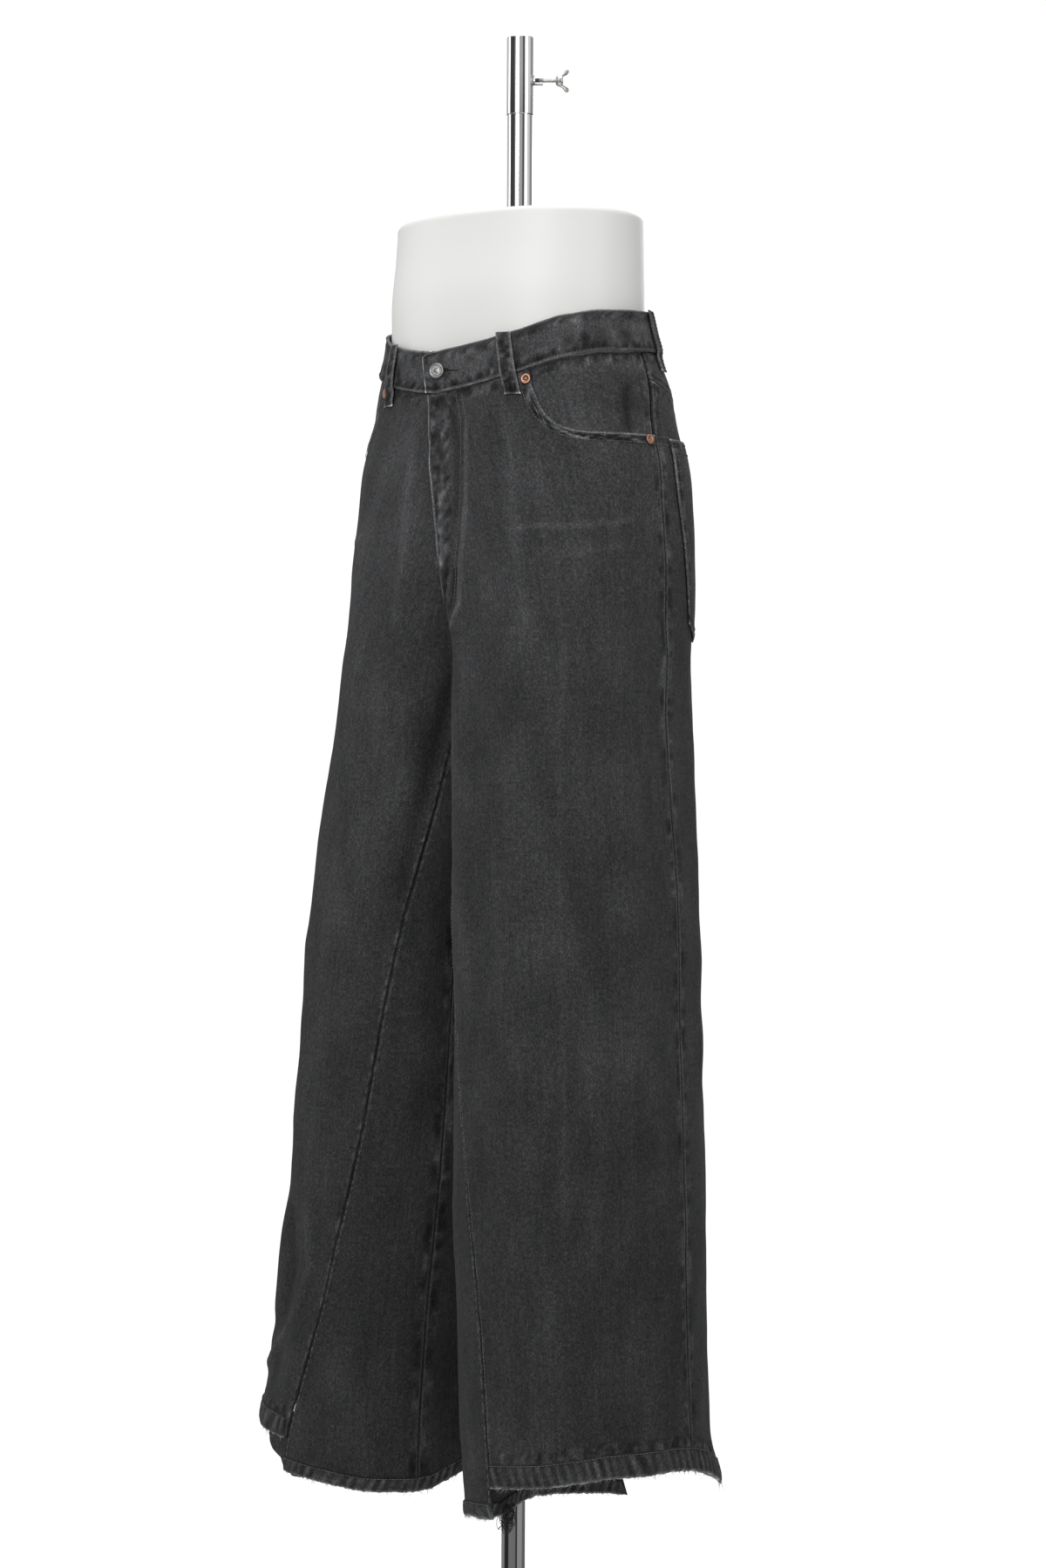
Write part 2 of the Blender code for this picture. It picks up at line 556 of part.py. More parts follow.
def make_waistband(parent):
    start, end = BAND_ENDS
    angles = np.concatenate(([start, -4.0, 0.0, 5.0, 11.0, 18.0, 26.0], np.linspace(35.0, 325.0, 30),
                             [335.0, 344.0, 351.0, end]))
    rows_out, rows_in = [], []
    for k in range(3):
        z = band_top(angles) - BAND_HEIGHT * (1.0 - k / 2)
        at_flap = angles < 90.0
        x = body_point(angles, z)[:, 0]
        lift = np.where(at_flap, flap_lift(x), 0.0)[:, None]
        points, normal = body_point(angles, z), body_normal(angles, z)
        rows_out.append(points + (BAND_OUT + lift) * normal)
        rows_in.append(points + (BAND_OUT + lift - BAND_THICK) * normal)
    wall("waistband", np.array(rows_out), np.array(rows_in), DENIM_MATERIAL, False, parent)


def band_face(angle, z):
    """Point and normal on the waistband's face."""
    at = np.float64(angle), np.float64(z)
    point, normal = body_point(*at), body_normal(*at)
    lift = flap_lift(point[0]) if -20.0 < angle < 90.0 else 0.0
    return point + (BAND_OUT + lift) * normal, normal


def make_loop(name, angle, parent):
    """A belt loop: a strip that stands a little off the band and ends on it and on the cloth below."""
    top = float(band_top(np.float64(angle)))
    half = 0.5 * LOOP_WIDTH
    radius = float(np.linalg.norm(body_point(np.float64(angle), np.float64(top))[:2]))
    spread = math.degrees(half / radius)
    angles = angle + np.array((-spread, 0.0, spread))
    shares = np.linspace(0.0, 1.0, 8)
    rows_out, rows_in = [], []
    for share in shares:
        z = top + LOOP_ABOVE_BAND - LOOP_LENGTH * (1.0 - share) + 0.0 * angles
        stand = LOOP_CLEAR + BAND_OUT + LOOP_ARCH * math.sin(math.pi * share) ** 0.6
        points, normal = body_point(angles, z), body_normal(angles, z)
        rows_in.append(points + stand * normal)
        rows_out.append(points + (stand + LOOP_THICK) * normal)
    wall(name, np.array(rows_out), np.array(rows_in), DENIM_MATERIAL, False, parent)


def make_fly(parent):
    """The overlapping edge of the left front, from the band down to where the legs part."""
    rows_out, rows_in = [], []
    for z in np.linspace(FLY_FROM_Z, FLY_TO_Z, 8):
        reach = np.interp(z, (FLY_FROM_Z, FLY_TO_Z), FLY_REACH)
        rows = []
        for x in (reach, 0.5 * reach, *FLY_COLUMNS_X):
            lean = phi_at_x(np.array([z]), -1.0, abs(x) + 0.00001)[0]
            side = "left" if x >= 0 else "right"
            point = surface(side, np.array([lean]), np.array([z]))[0]
            rows.append(point)
        points = np.array(rows)
        forward = np.array((0.0, -1.0, 0.0))
        rows_in.append(points + FLY_STANDS * forward)
        rows_out.append(points + (FLY_STANDS + DENIM) * forward)
    wall("fly", np.array(rows_out), np.array(rows_in), DENIM_MATERIAL, False, parent)


def facing(normal):
    return Vector(normal).to_track_quat("Z", "Y").to_matrix().to_4x4()


def make_button(parent):
    rim = BUTTON_RADIUS - BUTTON_EDGE
    profile = ((0.0, BUTTON_HIGH), (0.75 * BUTTON_RADIUS, BUTTON_HIGH), (rim, 0.87 * BUTTON_HIGH),
               (BUTTON_RADIUS, 0.72 * BUTTON_HIGH), (rim, 0.57 * BUTTON_HIGH),
               (BUTTON_SHANK, 0.48 * BUTTON_HIGH), (BUTTON_SHANK, 0.0), (0.0, 0.0))
    button = turned("button", profile, BUTTON_MATERIAL, 28)
    point, normal = band_face(BUTTON_ANGLE, BUTTON_Z)
    button.matrix_local = Matrix.Translation(Vector(point) + GAP * Vector(normal)) @ facing(normal)
    button.parent = parent


def make_rivet(name, side, phi, z, parent):
    profile = ((0.0, RIVET_HIGH), (0.42 * RIVET_RADIUS, 0.93 * RIVET_HIGH),
               (0.79 * RIVET_RADIUS, 0.71 * RIVET_HIGH), (RIVET_RADIUS, 0.29 * RIVET_HIGH),
               (RIVET_RADIUS, 0.0), (0.0, 0.0))
    rivet = turned(name, profile, COPPER_MATERIAL, 20)
    at = np.array([phi]), np.array([z])
    point, normal = surface(side, *at)[0], normals(side, *at)[0]
    rivet.matrix_local = Matrix.Translation(Vector(point + RIVET_LIFT * normal)) @ facing(normal)
    rivet.parent = parent


# ---------------------------------------------------------------------------- form and stand
def make_form(parent):
    z = column(FORM, "z")
    side, front, back = (column(FORM, name) for name in ("side", "front", "back"))
    angles = np.radians(np.arange(0, 360, 7.5))
    verts, faces = [], []
    n = FORM_EXPONENT
    for k in range(len(z)):
        c, s = np.cos(angles), np.sin(angles)
        depth = np.where(s > 0, back[k], front[k])
        r = ((np.abs(c) / side[k]) ** n + (np.abs(s) / depth) ** n) ** (-1.0 / n)
        verts += [(r[j] * c[j], r[j] * s[j], z[k]) for j in range(len(angles))]
    count = len(angles)
    for k in range(len(z) - 1):
        for j in range(count):
            i = (j + 1) % count
            faces.append((k * count + j, k * count + i, (k + 1) * count + i, (k + 1) * count + j))
    faces.append(tuple(reversed(range(count))))
    faces.append(tuple(range((len(z) - 1) * count, len(z) * count)))
    form = mesh_object("hip_form", verts, faces, FORM_MATERIAL)
    form.parent = parent


def make_stand():
    turned("base_plate", ((0.0, BASE_THICK), (BASE_RADIUS - BASE_EDGE, BASE_THICK),
                          (BASE_RADIUS, BASE_THICK - BASE_EDGE), (BASE_RADIUS, BASE_EDGE),
                          (BASE_RADIUS - BASE_EDGE, 0.0), (0.0, 0.0)), CHROME_MATERIAL, 64)
    bore = POLE_RADIUS + GAP
    low = BASE_THICK + GAP
    turned("foot_collar", ((bore, low), (bore, COLLAR_TOP), (COLLAR_RADIUS - COLLAR_EDGE, COLLAR_TOP),
                           (COLLAR_RADIUS, COLLAR_TOP - COLLAR_EDGE), (COLLAR_RADIUS, low), (bore, low)),
           CHROME_MATERIAL, 40)
    form_bottom, form_top = FORM[1][0], FORM[-1][0]
    turned("stand_pole", ((0.0, form_bottom - GAP), (POLE_RADIUS, form_bottom - GAP), (POLE_RADIUS, low),
                          (0.0, low)), CHROME_MATERIAL, 40)
    turned("stand_post", ((0.0, SLEEVE_FROM - GAP), (POST_RADIUS, SLEEVE_FROM - GAP),
                          (POST_RADIUS, form_top + GAP), (0.0, form_top + GAP)), CHROME_MATERIAL, 40)


def screw_frame(distance):
    """Where the thumbscrew's axis leaves the stand's axis, with local Z along the screw."""
    turn = Matrix.Rotation(math.radians(SCREW_AZIMUTH), 4, "Z") @ Matrix.Rotation(math.pi / 2, 4, "Y")
    return Matrix.Translation((0.0, 0.0, SCREW_Z)) @ turn @ Matrix.Translation((0.0, 0.0, distance))


def cylinder(name, radius, length, segments, material, collection):
    mesh = bpy.data.meshes.new(name)
    shape = bmesh.new()
    bmesh.ops.create_cone(shape, cap_ends=True, segments=segments, radius1=radius, radius2=radius,
                          depth=length)
    bmesh.ops.translate(shape, verts=shape.verts, vec=(0.0, 0.0, length / 2))
    shape.to_mesh(mesh)
    shape.free()
    obj = bpy.data.objects.new(name, mesh)
    collection.objects.link(obj)
    mesh.materials.append(material)
    return obj


def boolean(obj, name, other, operation):
    modifier = obj.modifiers.new(name, "BOOLEAN")
    modifier.operation = operation
    modifier.object = other
    modifier.solver = "EXACT"


def make_sleeve():
    """Socket for a rod above the post: a tube with a solid end, and a boss for its thumbscrew."""
    floor = SLEEVE_FROM + SLEEVE_FLOOR
    edge_radius = SLEEVE_RADIUS - SLEEVE_EDGE
    profile = ((0.0, floor), (SLEEVE_BORE, floor), (SLEEVE_BORE, SLEEVE_TO - SLEEVE_EDGE / 2),
               (SLEEVE_BORE + SLEEVE_EDGE / 2, SLEEVE_TO), (edge_radius, SLEEVE_TO),
               (SLEEVE_RADIUS, SLEEVE_TO - SLEEVE_EDGE), (SLEEVE_RADIUS, SLEEVE_FROM + SLEEVE_EDGE),
               (edge_radius, SLEEVE_FROM), (0.0, SLEEVE_FROM))
    sleeve = turned("stand_sleeve", profile, CHROME_MATERIAL, 40)
    boss = cylinder("boss", BOSS_RADIUS, BOSS_TO - BOSS_FROM, 20, CHROME_MATERIAL, CUTTERS)
    boss.matrix_world = screw_frame(BOSS_FROM)
    hole = cylinder("screw_hole", SCREW_ROD + GAP, BOSS_TO, 16, CHROME_MATERIAL, CUTTERS)
    hole.matrix_world = screw_frame(SCREW_HOLE_FROM)
    for helper in (boss, hole):
        helper.hide_render = True
        helper.display_type = "WIRE"
    boolean(sleeve, "Boss", boss, "UNION")
    boolean(sleeve, "Screw hole", hole, "DIFFERENCE")


def make_thumbscrew():
    """Rod, hub and two wings as one turned-and-joined piece, its origin on the screw's axis."""
    length = SCREW_HUB_AT + 0.001 - SCREW_TIP_AT        # its end runs 1 mm into the hub
    rod = cylinder("thumbscrew", SCREW_ROD, length, 16, CHROME_MATERIAL, MODEL)
    rod.matrix_world = screw_frame(SCREW_TIP_AT)
    hub = cylinder("screw_hub", SCREW_HUB_RADIUS, SCREW_HUB_LONG, 20, CHROME_MATERIAL, CUTTERS)
    hub.matrix_world = screw_frame(SCREW_HUB_AT)
    helpers = [hub]
    for name, mirror in (("wing_up", 1.0), ("wing_down", -1.0)):
        wing_mesh = bpy.data.meshes.new(name)
        shape = bmesh.new()
        ring = [shape.verts.new((mirror * x, -WING_THICK / 2, z)) for x, z in WING_OUTLINE]
        face = shape.faces.new(ring)
        extruded = bmesh.ops.extrude_face_region(shape, geom=[face])
        moved = [item for item in extruded["geom"] if isinstance(item, bmesh.types.BMVert)]
        bmesh.ops.translate(shape, verts=moved, vec=(0.0, WING_THICK, 0.0))
        bmesh.ops.recalc_face_normals(shape, faces=shape.faces)
        shape.to_mesh(wing_mesh)
        shape.free()
        wing = bpy.data.objects.new(name, wing_mesh)
        CUTTERS.objects.link(wing)
        wing.matrix_world = screw_frame(WING_FROM)
        helpers.append(wing)
    for helper in helpers:
        helper.hide_render = True
        helper.display_type = "WIRE"
        boolean(rod, helper.name, helper, "UNION")


# ---------------------------------------------------------------------------- build
for old in list(bpy.data.objects):
    bpy.data.objects.remove(old, do_unlink=True)
MODEL = bpy.data.collections.new("baggy_jeans_on_form")
CUTTERS = bpy.data.collections.new("cutters")
bpy.context.scene.collection.children.link(MODEL)
bpy.context.scene.collection.children.link(CUTTERS)

DENIM_MATERIAL = principled("washed_black_denim", (0.040, 0.040, 0.043), 0.9)
FORM_MATERIAL = principled("white_form", (0.85, 0.85, 0.83), 0.5)
CHROME_MATERIAL = principled("chrome", (0.80, 0.80, 0.80), 0.08, 1.0)
BUTTON_MATERIAL = principled("silver_button", (0.45, 0.45, 0.44), 0.3, 1.0)
COPPER_MATERIAL = principled("copper", (0.42, 0.17, 0.09), 0.35, 1.0)


def build():
    garment = bpy.data.objects.new("garment", None)
    garment.location = GARMENT_AT
    MODEL.objects.link(garment)
    for side in ("left", "right"):
        make_leg(side, garment)
        make_yoke(side, garment)
        make_facing(side, garment)
        make_back_pocket(side, garment)
    make_waistband(garment)
    for name, angle in LOOPS[1:]:
        make_loop(name, angle, garment)
    make_fly(garment)
    make_button(garment)
    for rivet in RIVETS[1:]:
        make_rivet(*rivet, garment)
    make_form(garment)
    make_stand()
    make_sleeve()
    make_thumbscrew()


build()
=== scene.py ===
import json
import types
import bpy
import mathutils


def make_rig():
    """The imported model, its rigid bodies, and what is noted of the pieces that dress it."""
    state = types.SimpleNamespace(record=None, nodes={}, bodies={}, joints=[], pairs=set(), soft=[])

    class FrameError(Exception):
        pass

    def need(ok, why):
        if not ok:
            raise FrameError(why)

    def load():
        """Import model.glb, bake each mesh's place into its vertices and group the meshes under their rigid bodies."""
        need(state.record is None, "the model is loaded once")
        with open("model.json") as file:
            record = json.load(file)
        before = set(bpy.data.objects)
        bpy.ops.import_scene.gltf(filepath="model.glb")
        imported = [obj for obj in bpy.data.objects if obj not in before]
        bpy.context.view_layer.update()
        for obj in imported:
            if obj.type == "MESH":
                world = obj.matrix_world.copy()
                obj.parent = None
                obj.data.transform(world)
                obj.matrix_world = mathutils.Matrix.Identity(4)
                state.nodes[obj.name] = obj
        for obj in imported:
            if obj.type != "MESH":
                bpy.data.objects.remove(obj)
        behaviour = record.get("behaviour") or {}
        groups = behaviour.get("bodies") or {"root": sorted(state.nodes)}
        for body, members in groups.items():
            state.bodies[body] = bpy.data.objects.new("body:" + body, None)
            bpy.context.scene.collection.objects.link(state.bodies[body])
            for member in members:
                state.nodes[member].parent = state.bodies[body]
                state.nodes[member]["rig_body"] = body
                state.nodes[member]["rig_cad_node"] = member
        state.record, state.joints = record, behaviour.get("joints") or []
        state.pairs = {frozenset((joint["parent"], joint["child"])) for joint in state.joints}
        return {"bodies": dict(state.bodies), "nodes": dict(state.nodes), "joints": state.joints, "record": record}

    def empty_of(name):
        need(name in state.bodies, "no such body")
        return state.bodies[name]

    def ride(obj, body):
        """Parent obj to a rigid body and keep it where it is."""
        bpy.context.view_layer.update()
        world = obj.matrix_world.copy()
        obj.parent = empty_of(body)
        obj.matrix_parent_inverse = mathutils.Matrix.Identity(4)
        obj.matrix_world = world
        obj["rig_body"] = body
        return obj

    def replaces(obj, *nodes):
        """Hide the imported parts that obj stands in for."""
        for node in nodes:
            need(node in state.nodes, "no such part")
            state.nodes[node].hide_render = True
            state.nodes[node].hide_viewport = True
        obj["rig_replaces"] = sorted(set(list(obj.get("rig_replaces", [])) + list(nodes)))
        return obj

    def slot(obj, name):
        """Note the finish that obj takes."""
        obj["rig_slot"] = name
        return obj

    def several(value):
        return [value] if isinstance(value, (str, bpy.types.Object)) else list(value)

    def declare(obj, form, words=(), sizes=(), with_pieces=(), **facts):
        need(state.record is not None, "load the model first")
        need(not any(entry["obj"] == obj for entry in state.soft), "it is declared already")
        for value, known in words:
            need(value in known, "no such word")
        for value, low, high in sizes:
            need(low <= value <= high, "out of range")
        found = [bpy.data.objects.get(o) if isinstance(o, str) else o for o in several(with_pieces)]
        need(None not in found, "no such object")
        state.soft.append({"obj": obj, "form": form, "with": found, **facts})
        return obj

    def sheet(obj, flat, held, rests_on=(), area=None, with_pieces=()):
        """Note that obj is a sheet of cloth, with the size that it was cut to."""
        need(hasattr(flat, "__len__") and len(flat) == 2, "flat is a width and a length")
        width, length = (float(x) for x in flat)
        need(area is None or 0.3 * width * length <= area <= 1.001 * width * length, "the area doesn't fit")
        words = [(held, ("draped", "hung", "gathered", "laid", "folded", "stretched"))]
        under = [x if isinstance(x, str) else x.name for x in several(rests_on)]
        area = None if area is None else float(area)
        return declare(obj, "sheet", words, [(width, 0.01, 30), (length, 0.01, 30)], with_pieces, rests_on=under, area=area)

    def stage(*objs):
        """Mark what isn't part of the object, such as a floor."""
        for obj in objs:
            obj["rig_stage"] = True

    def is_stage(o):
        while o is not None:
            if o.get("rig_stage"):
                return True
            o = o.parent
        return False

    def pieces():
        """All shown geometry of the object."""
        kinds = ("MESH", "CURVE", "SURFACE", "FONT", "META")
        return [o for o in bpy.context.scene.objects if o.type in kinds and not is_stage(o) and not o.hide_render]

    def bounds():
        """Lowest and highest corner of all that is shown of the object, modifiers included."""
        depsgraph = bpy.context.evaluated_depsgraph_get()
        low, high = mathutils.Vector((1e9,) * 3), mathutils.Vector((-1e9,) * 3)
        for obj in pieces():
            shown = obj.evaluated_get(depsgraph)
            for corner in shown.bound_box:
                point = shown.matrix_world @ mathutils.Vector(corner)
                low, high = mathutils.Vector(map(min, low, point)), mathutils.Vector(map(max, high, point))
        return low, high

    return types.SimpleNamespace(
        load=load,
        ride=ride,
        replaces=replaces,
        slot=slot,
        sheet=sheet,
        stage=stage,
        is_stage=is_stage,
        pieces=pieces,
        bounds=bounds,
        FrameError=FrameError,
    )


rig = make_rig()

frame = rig.load()
cad_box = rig.bounds()

# The looks of wide washed-denim jeans on a limbless hip form, with its chromed stand.
# Metres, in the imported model's frame. The garment has its own frame at GARMENT_AT, whose X = 0
# plane holds the crotch seam. A point of a leg is given by phi, the angle round that leg in degrees
# (0 outermost, 90 behind, -90 in front, 180 at the other leg), and its height z.

import json
import math

import bmesh
import bpy
import numpy as np
from mathutils import Matrix, Vector

BODY = "stand_and_jeans"
SCREW_BODY = "thumbscrew"
GARMENT_AT = np.array((0.022, -0.024, 0.0))
GAP = 0.0003
DENIM = 0.0013
BAND_PROUD = 0.0018
BAND_THICK = 0.0024
BAND_HEIGHT = 0.038
FLAP_LIFT = 0.0028
FLAP_FLAT_X = 0.012
FLAP_EASE = 0.035
CROTCH_Z = 0.9420
LEVEL_Z = 1.100
HEM_LEVEL_Z = 0.260
INSEAM_PHI = -152.0
MID_SEAM_PHI = 360.0 + INSEAM_PHI
APEX_Z = 0.928
LEG_RADIUS = 0.110                  # mean radius, to measure across folds in metres
TO_ARC = math.radians(1.0) * LEG_RADIUS
SIDES = ("left", "right")
MIRROR = {"left": 1.0, "right": -1.0}
OTHER = {"left": "right", "right": "left"}

# ---------------------------------------------------------------------------- tables
# Outline of the left half by height, its outer and inner parts each a superellipse: z, the centre's x,
# reach outwards and inwards, the centre's y, reach to the front and back, outer and inner exponents.
RINGS = np.array((
    (0.150, 0.1310, 0.110, 0.1090, -0.036, 0.113, 0.1210, 2.00, 2.00),
    (0.200, 0.1290, 0.109, 0.1090, -0.037, 0.113, 0.1200, 2.00, 2.00),
    (0.327, 0.1210, 0.107, 0.1090, -0.035, 0.112, 0.1180, 2.00, 2.00),
    (0.490, 0.1090, 0.104, 0.1040, -0.026, 0.114, 0.1190, 2.05, 2.20),
    (0.652, 0.0980, 0.102, 0.0920, -0.020, 0.114, 0.1170, 2.10, 2.37),
    (0.730, 0.0910, 0.102, 0.0860, -0.017, 0.114, 0.1170, 2.10, 2.54),
    (0.815, 0.0830, 0.097, 0.0790, -0.013, 0.113, 0.1180, 2.20, 2.85),
    (0.880, 0.0760, 0.095, 0.0730, -0.009, 0.111, 0.1210, 2.25, 3.20),
    (0.937, 0.0690, 0.099, 0.0670, -0.004, 0.110, 0.1180, 2.30, 3.40),
    (0.961, 0.0630, 0.103, 0.0700, -0.002, 0.110, 0.1200, 2.33, 3.30),
    (0.980, 0.0580, 0.108, 0.0705, -0.001, 0.110, 0.1220, 2.35, 3.20),
    (1.018, 0.0480, 0.119, 0.0700, 0.001, 0.110, 0.1215, 2.35, 3.00),
    (1.060, 0.0350, 0.131, 0.0670, 0.003, 0.108, 0.1210, 2.35, 2.80),
    (1.108, 0.0200, 0.145, 0.0720, 0.005, 0.108, 0.1160, 2.30, 2.50),
    (1.140, 0.0090, 0.150, 0.1100, 0.005, 0.106, 0.1110, 2.25, 2.30),
    (1.173, 0.0000, 0.1545, 0.1545, 0.005, 0.105, 0.1070, 2.20, 2.20),
    (1.205, 0.0000, 0.1440, 0.1440, 0.004, 0.104, 0.1020, 2.10, 2.10),
    (1.235, 0.0000, 0.1355, 0.1355, 0.004, 0.103, 0.0980, 2.10, 2.10),
    (1.275, 0.0000, 0.1310, 0.1310, 0.004, 0.101, 0.0960, 2.10, 2.10),
))
SIDE_SEAM = (("z", "phi"), (0.15, 14.0), (0.35, 15.0), (0.55, 17.0), (0.80, 17.0), (0.93, 18.0),
             (1.00, 12.5), (1.07, 6.5), (1.12, 3.5), (1.21, 5.0))
INSERT_FRONT = (("z", "left", "right"), (0.15, -92.0, -82.0), (0.20, -92.0, -82.0),
                (0.25, -93.5, -88.0), (0.336, -97.0, -99.5), (0.42, -102.0, -106.5),
                (0.50, -108.0, -113.0), (0.60, -117.0, -118.0), (0.70, -124.5, -124.5),
                (0.786, -132.0, -133.0), (0.846, -138.0, -138.0), (APEX_Z, -150.0, -150.0))
INSERT_BACK = (("z", "phi"), (0.15, 114.0), (0.25, 126.0), (0.336, 139.0), (0.42, 150.0),
               (0.50, 160.0), (0.60, 171.0), (0.70, 181.0), (0.786, 190.0), (0.846, 196.0),
               (APEX_Z, 206.0))
WAIST_TOP = (("phi", "z"), (-90, 1.2060), (-75, 1.2090), (-60, 1.2140), (-45, 1.2215),
             (-30, 1.2330), (-15, 1.2395), (0, 1.2420), (30, 1.2460), (60, 1.2484),
             (78, 1.2490), (90, 1.2490))
YOKE_SEAM = (("phi", "z"), (0, 1.183), (20, 1.167), (45, 1.152), (90, 1.138))
POCKET_EDGE = (("phi", "z"), (-42.5, 1.190), (-41.2, 1.180), (-40.6, 1.168), (-39.8, 1.156),
               (-38.0, 1.145), (-35.0, 1.136), (-30.0, 1.1305), (-24.0, 1.1285), (-10.0, 1.1285),
               (12.0, 1.129))
HEM = {
    "left": (("phi", "z"), (-95, 0.200), (-64, 0.206), (-35, 0.2145), (0, 0.216), (15, 0.213),
             (30, 0.206), (45, 0.193), (60, 0.190), (90, 0.192), (120, 0.190)),
    "right": (("phi", "z"), (-95, 0.211), (-80, 0.211), (-50, 0.217), (-30, 0.222), (0, 0.222),
              (15, 0.218), (45, 0.190), (75, 0.174), (100, 0.172), (140, 0.175)),
}
INSERT_HEM = {
    "left": (("phi", "z"), (110, 0.159), (122, 0.161), (160, 0.161), (169, 0.1555), (174, 0.152),
             (180, 0.147), (190, 0.147), (198, 0.149), (209, 0.157), (225, 0.163), (250, 0.171),
             (270, 0.174)),
    "right": (("phi", "z"), (130, 0.175), (155, 0.186), (180, 0.186), (186, 0.183), (202, 0.170),
              (210, 0.168), (234, 0.169), (252, 0.174), (280, 0.181)),
}
BACK_POCKET = (("z", "outer", "inner"), (0.961, 38.0, 74.0), (1.010, 28.0, 72.0),
               (1.052, 20.0, 70.0), (1.093, 13.5, 68.0), (1.126, 11.0, 66.0))
BACK_POCKET_POINT = 0.016
FLY_EDGE = (("z", "x"), (0.960, -0.0004), (1.011, -0.0008), (1.042, -0.002), (1.071, -0.004),
            (1.104, -0.008), (1.147, -0.0100), (1.170, -0.0125))

# Large folds: side, z and phi at the start, z and phi at the end, half width, height.
FOLDS = (
    ("right", 0.925, -138.0, 0.770, -128.0, 0.016, -0.0045),
    ("right", 0.560, -146.0, 0.330, -132.0, 0.022, -0.0035),
    ("right", 0.430, -62.0, 0.255, -44.0, 0.018, 0.0040),
    ("right", 0.420, -78.0, 0.240, -62.0, 0.016, -0.0040),
    ("right", 0.900, 120.0, 0.640, 112.0, 0.022, -0.0040),
    ("left", 0.900, 122.0, 0.660, 110.0, 0.022, -0.0040),
    ("left", 0.600, -66.0, 0.300, -60.0, 0.030, -0.0020),
    ("left", 0.560, 60.0, 0.260, 70.0, 0.026, 0.0035),
    ("left", 0.520, 96.0, 0.240, 100.0, 0.024, -0.0040),
    ("right", 0.520, 84.0, 0.240, 92.0, 0.024, -0.0035),
)
# Flares of the hems: side, phi, half angle, reach, the height where each ends, the length of its rise.
FLARES = (
    ("left", 50.0, 26.0, 0.008, 0.240, 0.055),
    ("left", -135.0, 24.0, -0.004, 0.250, 0.070),
    ("right", -50.0, 30.0, 0.009, 0.290, 0.070),
)
POLE_BULGE_PHI = 149.0
POLE_BULGE_HALF_ANGLE = 24.0
POLE_BULGE = (("z", "reach"), (0.150, 0.031), (0.240, 0.027), (0.327, 0.0220), (0.480, 0.0105),
              (0.586, 0.0065), (0.700, 0.0035), (0.860, 0.0))

